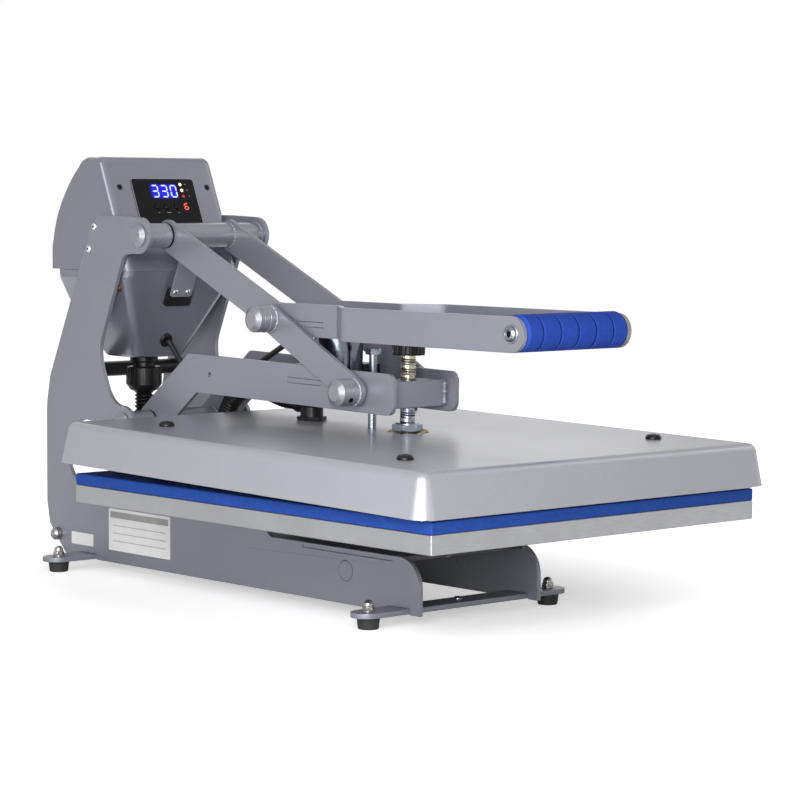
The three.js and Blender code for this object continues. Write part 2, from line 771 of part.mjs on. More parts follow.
function binRings(inset, bottomZ) {
  const skirt = [inset - binHalfWidth, binHalfWidth - inset, binFrontY + inset, binRearY - inset];
  const bottom = [inset - binBottomHalfWidth, binBottomHalfWidth - inset, binBottomFrontY + inset,
    binBottomRearY - inset];
  const bendShare = (binSkirtZ - binBendZ) / (binSkirtZ - binBottomZ);
  const bend = skirt.map((place, i) => THREE.MathUtils.lerp(place, bottom[i], bendShare));
  bend[3] = binBendRearY - inset;
  const radius = binCornerRadius - inset;
  return [
    ring(...skirt, radius, seamZ - fitGap),
    ring(...skirt, radius, binSkirtZ),
    ring(...bend, radius, binBendZ),
    ring(...bottom, radius, bottomZ),
  ];
}

// Moves a piece drawn flat on the lower shell's sloped front, from its bottom edge, to its place
const binFrontTurn = Math.atan2(binFrontRise, -binFrontRun);
const onBinFront = (geometry) => geometry.rotateX(binFrontTurn).translate(0, binBottomFrontY, binBottomZ);

function controlBin() {
  const floorZ = binBottomZ + hoodWall;
  const shell = loft([...binRings(hoodWall, floorZ).reverse(), ...binRings(0, binBottomZ)], false);
  const glandHole = rodZ(glandThreadRadius + fitGap, binBottomZ - overrun, floorZ + overrun, 0, glandY);
  const grommetHole = onBinFront(rodZ(grommetNeckRadius + fitGap, -2 * hoodWall, overrun, 0, grommetRise));
  return cut(shell, glandHole, grommetHole);
}

function controlPanel() {
  const outline = roundedRectangle(-panelHalfWidth, panelHalfWidth, -panelLength, 0, panelCornerRadius);
  const windowHalf = displayHalfWidth + fitGap;
  const window = roundedRectangle(displayX - windowHalf, displayX + windowHalf, -displayBottom - fitGap,
    fitGap - displayTop, 0);
  outline.holes.push(new THREE.Path(window.getPoints(1)));
  for (const x of buttonX) outline.holes.push(circlePath(x, -buttonDrop, buttonRadius + fitGap));
  return onFace(planPrism(outline, fitGap, fitGap + panelThick, fineArcSteps));
}

function circuitBoard() {
  const board = block(boardMargin - panelHalfWidth, panelHalfWidth - boardMargin, boardMargin - panelLength,
    -boardMargin, -boardDepth - boardThick, -boardDepth);
  const display = block(displayX - displayHalfWidth, displayX + displayHalfWidth, -displayBottom,
    -displayTop, -boardDepth - boardThick / 2, fitGap + panelThick / 2);
  return onFace(join(board, display));
}

function powerInlet() {
  const [halfWidth, halfHeight] = [inletWidth / 2, inletHeight / 2];
  const body = block(-halfWidth, halfWidth, -inletDepth, fitGap + inletFlangeThick, -halfHeight, halfHeight);
  const flange = block(-halfWidth - inletFlange, halfWidth + inletFlange, fitGap, fitGap + inletFlangeThick,
    -halfHeight - inletFlange, halfHeight + inletFlange);
  const recess = block(inletWall - halfWidth, halfWidth - inletWall, -inletRecess, overrun + inletFlangeThick,
    inletWall - halfHeight, halfHeight - inletWall);
  return cut(join(body, flange), recess).translate(inletX, hoodRearY, inletZ);
}

function boxGland() {
  const flangeTop = binBottomZ - fitGap;
  const neckZ = (glandNutTopZ + flangeTop) / 2;
  const threadTop = flangeTop + glandThreadTop + hoodWall;
  const nut = scaled(glandNutShares, glandBottomZ, glandNutTopZ - glandBottomZ, glandNutRadius);
  const profile = [[glandBottomZ, 0], ...nut, [glandNutTopZ, glandNeckRadius], [neckZ, glandNeckRadius],
    [neckZ, glandFlangeRadius], [flangeTop, glandFlangeRadius], [flangeTop, glandThreadRadius],
    [threadTop, glandThreadRadius], [threadTop, 0]];
  return alongZ(turned(profile)).translate(0, glandY, 0);
}

function cableGrommet() {
  const profile = [[-2 * hoodWall, 0], [-2 * hoodWall, grommetNeckRadius], [fitGap, grommetNeckRadius],
    ...scaled(grommetShares, fitGap, grommetProud, grommetRadius), [fitGap + grommetProud, 0]];
  return onBinFront(alongZ(turned(profile, smallTurnSteps)).translate(0, grommetRise, 0));
}

// Route through its points, which stay as chosen
function routeCurve(route) {
  const points = route.map((point) => new THREE.Vector3(...point));
  const curve = new THREE.CatmullRomCurve3(points, false, 'centripetal');
  curve.arcLengthDivisions = routeDivisions;
  return curve;
}

// Ribbed hose with its bore: crests and roots by turns, a ring of the bore every few ribs
function ribbedHose() {
  const curve = routeCurve(hoseRoute);
  const steps = 2 * Math.round(curve.getLength() / hoseRibPitch);
  const frames = curve.computeFrenetFrames(steps, false);
  const hoop = (step, radius) => Array.from({ length: hoseSides }, (_, i) => {
    const angle = 2 * Math.PI * i / hoseSides;
    return curve.getPointAt(step / steps)
      .addScaledVector(frames.normals[step], radius * Math.cos(angle))
      .addScaledVector(frames.binormals[step], radius * Math.sin(angle));
  });
  const rings = [];
  for (let step = 0; step <= steps; step += 1) {
    rings.push(hoop(step, hoseRadius - (step % 2 ? 0 : hoseRibDepth)));
  }
  const boreSteps = [];
  for (let step = 0; step < steps - hoseBoreEvery; step += 2 * hoseBoreEvery) boreSteps.push(step);
  boreSteps.push(steps);
  for (const step of boreSteps.reverse()) rings.push(hoop(step, hoseBore));
  return loft(rings, true);
}

function magnetCable() {
  const section = new THREE.Shape(Array.from({ length: cableSides }, (_, i) => {
    const angle = 2 * Math.PI * i / cableSides;
    return new THREE.Vector2(cableRadius * Math.cos(angle), cableRadius * Math.sin(angle));
  }));
  return new THREE.ExtrudeGeometry(section, { steps: cableSteps, extrudePath: routeCurve(cableRoute) });
}

function buildControls(group) {
  piece(group, 'control_hood', controlHood(), coverPaint);
  piece(group, 'control_bin', controlBin(), framePaint);
  piece(group, 'control_panel', controlPanel(), panelBlack);
  piece(group, 'circuit_board', circuitBoard(), boardGreen);
  buttonX.forEach((x, i) => {
    const top = fitGap + panelThick + buttonProud;
    piece(group, `button_${i + 1}`, onFace(rodZ(buttonRadius, top - buttonLength, top, x, -buttonDrop,
      smallTurnSteps)), blackPlastic);
  });
  piece(group, 'power_inlet', powerInlet(), blackPlastic);
  const switchHalf = switchWidth / 2;
  const limitSwitch = block(switchX - switchHalf, switchX + switchHalf, switchRise,
    switchRise + switchHeight, fitGap, fitGap + switchThick);
  piece(group, 'handle_switch', onBinFront(limitSwitch), blackPlastic);
  const plateHalf = bracketPlateWidth / 2;
  const plate = roundedRectangle(bracketPlateX - plateHalf, bracketPlateX + plateHalf, bracketPlateRise,
    bracketPlateRise + bracketPlateHeight, bracketPlateRadius);
  const plateSeat = 2 * fitGap + switchThick;
  const bracket = onBinFront(planPrism(plate, plateSeat, plateSeat + bracketPlateThick));
  piece(group, 'switch_bracket', bracket, framePaint);
  piece(group, 'box_gland', boxGland(), blackPlastic);
  piece(group, 'cable_grommet', cableGrommet(), blackRubber);
  piece(group, 'conduit', ribbedHose(), blackPlastic);
  piece(group, 'magnet_cable', magnetCable(), blackPlastic);
}

// Handle: each plate is bent outward ahead of the toggle pin
function handlePlate(sign) {
  const mid = plateThick / 2;
  const rearEnd = topPivotY + 2 * handleHalfHeight;
  const frontEnd = handleFrontY - 2 * handleHalfHeight;
  const [rearX, frontX] = [handleRearX + mid, handleFrontX + mid];
  const bends = [[rearX, rearEnd], [rearX, joggleRearY], [frontX, joggleFrontY], [frontX, frontEnd]];
  const plan = bandOutline(bends.map(([x, y]) => [sign * x, y]), mid, joggleInnerRadius + plateThick,
    joggleInnerRadius, 0, 0);
  const line = [[topPivotY, topPivotZ], [toggleY, toggleZ], [handleFrontY, toggleZ]];
  const side = bandOutline(line, handleHalfHeight, handleBendRadius + 2 * handleHalfHeight, handleBendRadius,
    handleHalfHeight, handleHalfHeight);
  const wide = span(sign, handleRearX - overrun, handleFrontX + plateThick + overrun);
  const strikerZ = strikerBottom();
  const slot = block(...wide, strikerFrontY - fitGap, strikerRearY + fitGap, strikerZ - fitGap,
    strikerZ + plateThick + fitGap);
  const bar = common(planPrism(plan, 0, topPivotZ + toggleZ), sidePrism(side, ...wide, fineArcSteps));
  return cut(bar,
    rodX(shaftBoreRadius, ...wide, topPivotY, topPivotZ),
    rodX(pinBoreRadius, ...wide, toggleY, toggleZ),
    rodX(gripScrewRadius + fitGap, ...wide, gripY, gripZ, smallTurnSteps),
    slot);
}

// The striker plate clears the highest edge of the tilted magnet
function strikerBottom() {
  const magnetTop = bracketZ + plateThick + fitGap + magnetHeight;
  const edgeY = magnetY + magnetRadius;
  return lowerPivotZ + edgeY * Math.sin(closingTilt) + magnetTop * Math.cos(closingTilt) + strikerGap;
}

// Foam sleeve with its row of V grooves
function foamGrip() {
  const end = handleFrontX - fitGap;
  const start = -end;
  const bore = gripTubeRadius + fitGap;
  const profile = [[start, bore], [start, foamRadius - foamEndRadius], [start + foamEndRadius, foamRadius]];
  for (let groove = 0; groove < foamGrooveCount; groove += 1) {
    const middle = (groove - (foamGrooveCount - 1) / 2) * foamGroovePitch;
    profile.push([middle - foamGrooveHalfWidth, foamRadius], [middle, foamRadius - foamGrooveDepth],
      [middle + foamGrooveHalfWidth, foamRadius]);
  }
  profile.push([end - foamEndRadius, foamRadius], [end, foamRadius - foamEndRadius]);
  profile.push([end, bore], [start, bore]);
  return alongX(turned(profile)).translate(0, gripY, gripZ);
}

const onSide = (sign, profile) => profile.map(([x, radius]) => [sign * x, radius]);

// A pin head: a ring, then a chamfer up to its face
function pinHead(seat, ring, radius, end) {
  return [[seat, radius], [seat + ring, radius], [end, shaftHeadFaceRadius], [end, 0]];
}

function togglePin(sign) {
  const inner = handleRearX - fitGap;
  const seat = linkBossEndX - pinHeadRing;
  const start = inner - pinCollarLength;
  const head = pinHead(seat, pinHeadRing, hubRadius, linkBossEndX + pinHeadLength);
  const profile = [[start, 0], [start, pinCollarRadius], [inner, pinCollarRadius], [inner, pinRadius],
    [seat, pinRadius], ...head];
  return alongX(turned(onSide(sign, profile))).translate(0, toggleY, toggleZ);
}

function gripScrew(sign) {
  const seat = handleFrontX + plateThick + fitGap;
  const head = scaled(gripScrewHeadShares, seat, gripScrewHeadHeight, gripScrewHeadRadius);
  const start = seat - gripScrewLength;
  const profile = [[start, 0], [start, gripScrewRadius], [seat, gripScrewRadius], ...head,
    [seat + gripScrewHeadHeight, 0]];
  return alongX(turned(onSide(sign, profile), smallTurnSteps)).translate(0, gripY, gripZ);
}

function buildHandle(group) {
  const hubEnd = handleRearX - fitGap;
  for (const [side, sign] of sides) {
    piece(group, `handle_plate_${side}`, handlePlate(sign), framePaint);
    piece(group, `toggle_pin_${side}`, togglePin(sign), framePaint);
    piece(group, `grip_screw_${side}`, gripScrew(sign), blackPlastic);
  }
  const hub = tubeX(hubRadius, shaftBoreRadius, -hubEnd, hubEnd, topPivotY, topPivotZ);
  piece(group, 'handle_hub', hub, framePaint);
  const tubeEnd = handleFrontX - fitGap;
  const gripTube = tubeX(gripTubeRadius, gripScrewRadius + fitGap, -tubeEnd, tubeEnd, gripY, gripZ);
  piece(group, 'grip_tube', gripTube, plainSteel);
  piece(group, 'foam_grip', foamGrip(), blueFoam);
  const strikerEnd = handleRearX + plateThick;
  const strikerZ = strikerBottom();
  piece(group, 'striker_plate', block(-strikerEnd, strikerEnd, strikerFrontY, strikerRearY, strikerZ,
    strikerZ + plateThick), framePaint);
}

// Toggle links: plate with a welded boss at each end, and the arms' pin fixed in the lower boss
function toggleLink(sign) {
  const plate = sidePrism(bandOutline([[toggleY, toggleZ], [armPinY, armPinZ]], linkRadius, 0, 0, linkRadius,
    linkRadius), ...span(sign, linkInnerX, linkInnerX + plateThick), fineArcSteps);
  const bossEnd = linkBossEndX - pinHeadRing - fitGap;
  const upper = rodX(hubRadius, ...span(sign, handleRearX + plateThick + fitGap, bossEnd), toggleY, toggleZ);
  const lowerProfile = [[linkInnerX, 0], ...pinHead(linkInnerX, linkBossEndX - linkInnerX, hubRadius,
    linkBossEndX + pinHeadLength)];
  const lower = alongX(turned(onSide(sign, lowerProfile))).translate(0, armPinY, armPinZ);
  const bore = rodX(pinBoreRadius, ...span(sign, handleRearX, linkBossEndX), toggleY, toggleZ);
  const setScrew = rodZ(setScrewRadius, armPinZ + pinRadius, armPinZ + hubRadius + overrun,
    sign * (linkInnerX + plateThick + linkBossEndX) / 2, armPinY, smallTurnSteps);
  return cut(join(plate, upper, lower), bore, setScrew);
}

function buildLinks(group) {
  for (const [side, sign] of sides) piece(group, `toggle_link_${side}`, toggleLink(sign), framePaint);
}

// The arms' pin place, taken back through the closing tilt
function armPinLocal() {
  const [y, z] = [armPinY - lowerPivotY, armPinZ - lowerPivotZ];
  const [along, across] = [Math.cos(closingTilt), Math.sin(closingTilt)];
  return [y * along + z * across, z * along - y * across];
}

function platenArm(sign) {
  const line = [[0, 0], [armKneeY, armBarZ], [armFrontY, armBarZ]];
  const band = bandOutline(line, armHalfHeight, armKneeOuterRadius, armKneeInnerRadius, armHalfHeight,
    armFrontRadius);
  const wide = span(sign, armInnerX - overrun, armInnerX + plateThick + overrun);
  return cut(sidePrism(band, ...span(sign, armInnerX, armInnerX + plateThick), fineArcSteps),
    rodX(shaftBoreRadius, ...wide, 0, 0),
    rodX(pinBoreRadius, ...wide, ...armPinLocal()),
    rodX(armHoleRadius, ...wide, armHoleY, armBarZ, smallTurnSteps),
    block(...wide, bracketTabFrontY - fitGap, bracketRearY + fitGap, bracketZ - fitGap,
      bracketZ + plateThick + fitGap));
}

function crossBar() {
  const half = crossBarSize / 2;
  const end = armInnerX - fitGap;
  return cut(block(-end, end, screwY - half, screwY + half, crossBarZ - half, crossBarZ + half),
    rodZ(screwRadius + runGap, crossBarZ - crossBarSize, crossBarZ + crossBarSize, 0, screwY));
}

// Plate between the arms, with a holder round the magnet's foot that is open at its front
function magnetBracket() {
  const end = armInnerX - fitGap;
  const seat = bracketZ + plateThick;
  const plate = block(-end, end, bracketFrontY, bracketRearY, bracketZ, seat);
  const tabEnd = armInnerX + plateThick;
  const tabs = block(-tabEnd, tabEnd, bracketTabFrontY, bracketRearY, bracketZ, seat);
  const holder = block(-end, end, holderFrontY, bracketRearY, bracketZ, seat + holderHeight);
  return cut(join(plate, tabs, holder),
    rodZ(guideRadius + runGap, bracketZ - overrun, seat + overrun, 0, guideY),
    rodZ(magnetRadius + fitGap, seat, seat + holderHeight + overrun, 0, magnetY, fineTurnSteps));
}

function buildArms(group) {
  for (const [side, sign] of sides) piece(group, `platen_arm_${side}`, platenArm(sign), framePaint);
  const end = armInnerX - fitGap;
  piece(group, 'arm_hub', tubeX(hubRadius, shaftBoreRadius, -end, end, 0, 0), framePaint);
  piece(group, 'cross_bar', crossBar(), framePaint);
  const shaftEnd = linkInnerX - fitGap;
  piece(group, 'arm_cross_shaft', rodX(pinRadius, -shaftEnd, shaftEnd, ...armPinLocal()), plainSteel);
  piece(group, 'magnet_bracket', magnetBracket(), framePaint);
  const seat = bracketZ + plateThick + fitGap;
  piece(group, 'magnet', rodZ(magnetRadius, seat, seat + magnetHeight, 0, magnetY, fineTurnSteps), chrome);
}

// Cover: rings from the rim up the drafted wall and over the round top edge
function coverRings(wall) {
  const radius = coverEdgeRadius - wall;
  const shoulderZ = coverTopZ - coverEdgeRadius;
  const levels = [[wall, coverRimZ]];
  for (let i = 0; i <= coverEdgeSteps; i += 1) {
    const angle = Math.PI / 2 * i / coverEdgeSteps;
    const inset = coverDraft + coverEdgeRadius - radius * Math.cos(angle);
    levels.push([inset, shoulderZ + radius * Math.sin(angle)]);
  }
  const rearY = coverFrontLocalY + coverDepth;
  return levels.map(([inset, z]) => ring(inset - coverHalfWidth, coverHalfWidth - inset,
    coverFrontLocalY + inset, rearY - inset, coverCornerRadius - inset, z));
}

function platenCover() {
  const shell = loft([...coverRings(coverWall).reverse(), ...coverRings(0)], false);
  const half = screwWindowSize / 2;
  const [low, high] = [coverTopZ - coverWall - overrun, coverTopZ + overrun];
  return cut(shell, block(-half, half, screwY - half, screwY + half, low, high),
    rodZ(guideRadius + runGap, low, high, 0, guideY),
    rodZ(elbowThreadRadius + fitGap, low, high, 0, elbowY));
}

function heatPlaten() {
  const plate = planPrism(platenOutline(-lowerPivotY), platenBottomZ, heatPlatenTopZ);
  const bossTop = heatPlatenTopZ + mountBossHeight;
  const boss = rodZ(mountBossRadius, heatPlatenTopZ - overrun, bossTop, 0, screwY);
  const seat = rodZ(screwRadius + runGap, bossTop - screwSeatDepth, bossTop + overrun, 0, screwY);
  return cut(join(plate, boss), seat);
}

// Flat heating element, run to and fro over the platen
function heatingElement() {
  const line = [];
  const centreY = -lowerPivotY;
  for (let run = 0; run < heaterRuns; run += 1) {
    const x = (run - (heaterRuns - 1) / 2) * heaterRunPitch;
    const ends = [centreY + heaterHalfDepth, centreY - heaterHalfDepth];
    if (run % 2) ends.reverse();
    line.push([x, ends[0]], [x, ends[1]]);
  }
  const half = heaterHeight / 2;
  const base = heatPlatenTopZ + fitGap;
  return planPrism(bandOutline(line, half, heaterHeight + half, half, 0, 0), base, base + heaterHeight);
}

function insulationBlanket() {
  const [halfX, halfY] = [platenWidth / 2 - blanketInset, platenDepth / 2 - blanketInset];
  const base = heaterTopZ + fitGap;
  const top = coverTopZ - coverWall - fitGap;
  const sheet = planPrism(roundedRectangle(-halfX, halfX, -lowerPivotY - halfY, halfY - lowerPivotY,
    platenCornerRadius), base, top);
  const bossTop = heatPlatenTopZ + mountBossHeight;
  return cut(sheet, rodZ(mountBossRadius + fitGap, base - overrun, bossTop + fitGap, 0, screwY),
    rodZ(screwRadius + runGap, base - overrun, top + overrun, 0, screwY),
    rodZ(guideRadius + runGap, base - overrun, top + overrun, 0, guideY),
    rodZ(elbowThreadRadius + fitGap, base - overrun, top + overrun, 0, elbowY));
}

function guideBolt() {
  const shank = rodZ(guideRadius, heatPlatenTopZ + fitGap, guideHeadZ + guideHeadHeight / 2, 0, guideY,
    smallTurnSteps);
  return join(shank, hexZ(guideHeadRadius, guideHeadZ, guideHeadZ + guideHeadHeight, 0, guideY));
}

function coverGland() {
  const seat = coverTopZ + fitGap;
  const stem = rodZ(elbowStemRadius, seat, elbowPortZ, 0, elbowY);
  const flange = hexZ(elbowFlangeRadius, seat, seat + elbowFlangeHeight, 0, elbowY);
  const thread = rodZ(elbowThreadRadius, seat - elbowThreadDepth, seat + elbowFlangeHeight / 2, 0, elbowY);
  const knuckle = new THREE.SphereGeometry(elbowRadius, smallTurnSteps, smallTurnSteps / 2);
  const port = rod(elbowRadius, 0, elbowPortY - elbowY);
  const bend = [knuckle, port].map((part) => part.translate(0, elbowY, elbowPortZ));
  return join(stem, flange, thread, ...bend);
}

function buildPlaten(group) {
  piece(group, 'platen_cover', platenCover(), coverPaint);
  piece(group, 'heat_platen', heatPlaten(), bareAluminium);
  piece(group, 'heating_element', heatingElement(), plainSteel);
  piece(group, 'insulation_blanket', insulationBlanket(), insulationBeige);
  piece(group, 'guide_bolt', guideBolt(), plainSteel);
  piece(group, 'cover_gland', coverGland(), blackPlastic);
}

// Pressure screw with its hex collar, and the fluted knob on its top
function pressureScrew() {
  const bottom = heatPlatenTopZ + mountBossHeight - screwSeatDepth + fitGap;
  const collarZ = coverTopZ + 2 * fitGap;
  return join(rodZ(screwRadius, bottom, knobBottomZ + knobSocketDepth - fitGap, 0, screwY),
    hexZ(collarRadius, collarZ, collarZ + collarHeight, 0, screwY));
}

function pressureKnob() {
  const top = knobBottomZ + knobHeight;
  const body = alongZ(turned([[knobBottomZ, 0], [knobBottomZ, knobRadius - knobEdge], [knobBottomZ + knobEdge,
    knobRadius], [top - knobEdge, knobRadius], [top, knobRadius - knobEdge], [top, 0]], fineTurnSteps));
  const socket = rodZ(screwRadius + fitGap, knobBottomZ - overrun, knobBottomZ + knobSocketDepth, 0, 0);
  const reach = knobRadius + knobFluteRadius / 2;
  const flutes = Array.from({ length: knobFluteCount }, (_, i) => {
    const flute = rodZ(knobFluteRadius, knobBottomZ - overrun, top + overrun, reach, 0, hexSteps);
    return flute.rotateZ(2 * Math.PI * i / knobFluteCount);
  });
  return cut(body, socket, ...flutes).translate(0, screwY, 0);
}

function buildScrew(group) {
  piece(group, 'pressure_screw', pressureScrew(), zincSteel);
  piece(group, 'pressure_knob', pressureKnob(), blackPlastic);
}

// The whole press, its origin on the floor under the middle of its footprint
const upper = new THREE.Group();
upper.position.set(0, lowerPivotY, lowerPivotZ);
upper.rotation.x = closingTilt;
buildArms(upper);
buildPlaten(upper);
buildScrew(upper);

const press = new THREE.Group();
press.position.set(0, -footprintCentreY, 0);
buildFrame(press);
buildControls(press);
buildHandle(press);
buildLinks(press);
press.add(upper);

const model = new THREE.Group();
model.add(press);

export default model;
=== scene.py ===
# Clamshell heat press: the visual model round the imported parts, in their frame
import math
from math import cos, pi, radians, sin, tan

import bmesh
import bpy
from mathutils import Matrix, Vector
from mathutils.geometry import tessellate_polygon


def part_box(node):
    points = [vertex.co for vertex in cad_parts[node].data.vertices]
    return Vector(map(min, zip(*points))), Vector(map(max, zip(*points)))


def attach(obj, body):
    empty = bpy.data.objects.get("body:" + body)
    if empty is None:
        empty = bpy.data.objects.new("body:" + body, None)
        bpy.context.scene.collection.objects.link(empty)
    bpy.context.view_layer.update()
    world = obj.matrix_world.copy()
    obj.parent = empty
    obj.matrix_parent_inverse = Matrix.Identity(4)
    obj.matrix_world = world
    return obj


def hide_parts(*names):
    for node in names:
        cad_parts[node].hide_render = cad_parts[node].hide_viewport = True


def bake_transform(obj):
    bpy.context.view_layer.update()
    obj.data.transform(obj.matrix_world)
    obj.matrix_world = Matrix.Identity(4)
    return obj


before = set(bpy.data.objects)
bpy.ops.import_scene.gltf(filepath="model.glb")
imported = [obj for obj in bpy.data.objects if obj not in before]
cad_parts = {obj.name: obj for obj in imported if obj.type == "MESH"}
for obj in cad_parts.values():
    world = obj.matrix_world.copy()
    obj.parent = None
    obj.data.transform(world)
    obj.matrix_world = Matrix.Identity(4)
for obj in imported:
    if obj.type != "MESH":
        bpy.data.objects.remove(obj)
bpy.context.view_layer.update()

# Places, in millimetres of the maker's drawing: Y from the lower platen's centre, Z from the floor
FOOTPRINT_Y = 112.735
DRAWING = Matrix.Scale(0.001, 4) @ Matrix.Translation((0, -FOOTPRINT_Y, 0))
TOP_PIVOT = (321, 348)
LOWER_PIVOT = (350, 155)
TOGGLE = (147.2, 269.8)
ARM_PIN = (24, 205.5)
GRIP = (-208.7, 270.8)
CLOSING_TILT = radians(1)
# The tilted upper half is drawn from the lower pivot
UPPER = DRAWING @ Matrix.Translation((0, *LOWER_PIVOT)) @ Matrix.Rotation(CLOSING_TILT, 4, "X")
# Flat drawings of the sloped panel, from its top edge, and of the lower shell's sloped front. The hood's
# face leans back by this share of its height, from its foot on the seam
FACE_LEAN = 0.42
FACE_FOOT = (345.7, 311)
PANEL_TURN = pi / 2 - math.atan(FACE_LEAN)
PANEL_EDGE = Matrix.Translation((-1.3, FACE_FOOT[0] + FACE_LEAN * 94.2, 405.2))
PANEL = DRAWING @ PANEL_EDGE @ Matrix.Rotation(PANEL_TURN, 4, "X")
BIN_TURN = math.atan2(84, -37)
BIN_FRONT = DRAWING @ Matrix.Translation((0, 387, 219)) @ Matrix.Rotation(BIN_TURN, 4, "X")
# A drawing of Y and Z, stood up so that its thickness lies along X
UPRIGHT = Matrix(((0, 0, 1, 0), (1, 0, 0, 0), (0, 1, 0, 0), (0, 0, 0, 1)))
# A turned piece, laid along X
ALONG_X = Matrix.Rotation(pi / 2, 4, "Y")

PLATE = 4.8
FRAME_X = 77.7
SHAFT_BORE = 9.8
HUB = 12.7
PIN = 8
SIDES = (("left", -1), ("right", 1))
SHELL_WALL = 2.4
# Half sizes of both platens, and places on the upper half, measured forward from the lower pivot
PLATEN_X = 203.2
PLATEN_Y = 254
SCREW_Y = -349
GUIDE_Y = -298.6
MAGNET_Y = -247.5
COVER_TOP = 17.6
# The photograph: its width and the lens, in pixels, and the camera's place in metres
PHOTO_WIDTH = 800
FOCAL_LENGTH = 2702.9
CAMERA_PLACE = (-1.7125, -2.002135, 0.3935)
# The display's lit window and how far its glow takes to fade, in metres
WINDOW_CENTRE = (-0.00145, 0, 0.3929)
WINDOW_HALF = (0.0152, 0.0056)
GLOW_FADE = 0.004
# Distance between the slits of the foam grip
SLIT_PITCH = 22.1


# Camera: solved from the photograph's straight edges
def aim_camera():
    """Looks to the right and a little down, slightly rolled."""
    yaw, down, roll = radians(-42.019), radians(4.402), radians(0.298)
    ahead = Vector((-sin(yaw) * cos(down), cos(yaw) * cos(down), -sin(down)))
    right = Vector((cos(yaw), sin(yaw), 0))
    up = right.cross(ahead)
    turned_right = right * cos(roll) + up * sin(roll)
    turned_up = up * cos(roll) - right * sin(roll)
    data = bpy.data.cameras.new("camera")
    data.sensor_width = 36
    data.lens = data.sensor_width * FOCAL_LENGTH / PHOTO_WIDTH
    data.clip_end = 50
    camera = bpy.data.objects.new("camera", data)
    turn = Matrix((turned_right, turned_up, -ahead)).transposed().to_4x4()
    camera.matrix_world = Matrix.Translation(CAMERA_PLACE) @ turn
    bpy.context.scene.collection.objects.link(camera)
    bpy.context.scene.camera = camera


aim_camera()


# Node trees: sums of sockets written as Python sums
class Wire:
    def __init__(self, maker, socket):
        self.maker = maker
        self.socket = socket

    def also(self, name):
        return Wire(self.maker, self.socket.node.outputs[name])

    def sum(self, operation, *values):
        return self.maker.add("ShaderNodeMath", {"operation": operation}, dict(enumerate(values)))

    def __add__(self, other):
        return self.sum("ADD", self, other)

    def __radd__(self, other):
        return self.sum("ADD", other, self)

    def __sub__(self, other):
        return self.sum("SUBTRACT", self, other)

    def __rsub__(self, other):
        return self.sum("SUBTRACT", other, self)

    def __mul__(self, other):
        return self.sum("MULTIPLY", self, other)

    def __rmul__(self, other):
        return self.sum("MULTIPLY", other, self)

    def __truediv__(self, other):
        return self.sum("DIVIDE", self, other)

    def __rtruediv__(self, other):
        return self.sum("DIVIDE", other, self)

    def __pow__(self, other):
        return self.sum("POWER", self, other)


class Maker:
    def __init__(self, tree):
        self.tree = tree

    def add(self, kind, settings=None, values=None, out=0):
        node = self.tree.nodes.new(kind)
        for name, value in (settings or {}).items():
            setattr(node, name, value)
        for name, value in (values or {}).items():
            self.feed(node.inputs[name], value)
        return Wire(self, node.outputs[out]) if node.outputs else node

    def feed(self, socket, value):
        if isinstance(value, Wire):
            self.tree.links.new(value.socket, socket)
        else:
            socket.default_value = value

    def blend(self, share, first, second):
        first, second = [(*c, 1) if isinstance(c, tuple) else c for c in (first, second)]
        settings = {"data_type": "RGBA"}
        return self.add("ShaderNodeMix", settings, {"Factor": share, 6: first, 7: second}, out=2)

    def place(self, stretch=(1, 1, 1), centre=(0, 0, 0)):
        place = self.add("ShaderNodeTexCoord", out="Object")
        values = {"Vector": place, "Location": centre, "Scale": tuple(1 / s for s in stretch)}
        return self.add("ShaderNodeMapping", {"vector_type": "TEXTURE"}, values)

    def noise(self, size, detail=2.0, stretch=(1, 1, 1), roughness=0.5):
        return self.add("ShaderNodeTexNoise", values={
            "Vector": self.place(stretch), "Scale": 1000 / size, "Detail": detail, "Roughness": roughness})

    def range(self, value, low, high, start=0.0, end=1.0):
        return self.add("ShaderNodeMapRange", values={0: value, 1: low, 2: high, 3: start, 4: end})

    def bump(self, height, depth, strength=1.0):
        return self.add("ShaderNodeBump", values={
            "Height": height, "Distance": depth * 0.001, "Strength": strength})


# Finishes
def finish(name, dress):
    material = bpy.data.materials.new(name)
    material.use_nodes = True
    maker = Maker(material.node_tree)
    shader = material.node_tree.nodes["Principled BSDF"]
    for socket, value in dress(maker).items():
        if isinstance(value, tuple) and len(value) == 3:
            value = (*value, 1)
        maker.feed(shader.inputs[socket], value)
    return material


def shade(colour, factor):
    return tuple(min(1, part * factor) for part in colour)


def paint(colour, roughness=0.42, metallic=0.45, coat=0.15):
    """Metallic paint: flakes, a slight cloudiness and the skin of sprayed paint."""
    def dress(m):
        flakes = m.range(m.noise(0.7, 2), 0.35, 0.65)
        clouds = m.range(m.noise(70, 3), 0.3, 0.7)
        speckled = m.blend(flakes, shade(colour, 0.93), shade(colour, 1.06))
        toned = m.blend(clouds * 0.4, speckled, shade(colour, 0.92))
        skin = m.noise(1.4, 2)
        return {
            "Base Color": toned,
            "Metallic": metallic,
            "Roughness": m.range(flakes * 0.5 + clouds * 0.5, 0, 1, roughness - 0.03, roughness + 0.03),
            "Coat Weight": coat,
            "Coat Roughness": 0.15,
            "Normal": m.bump(skin, 0.03, 0.3),
        }
    return dress


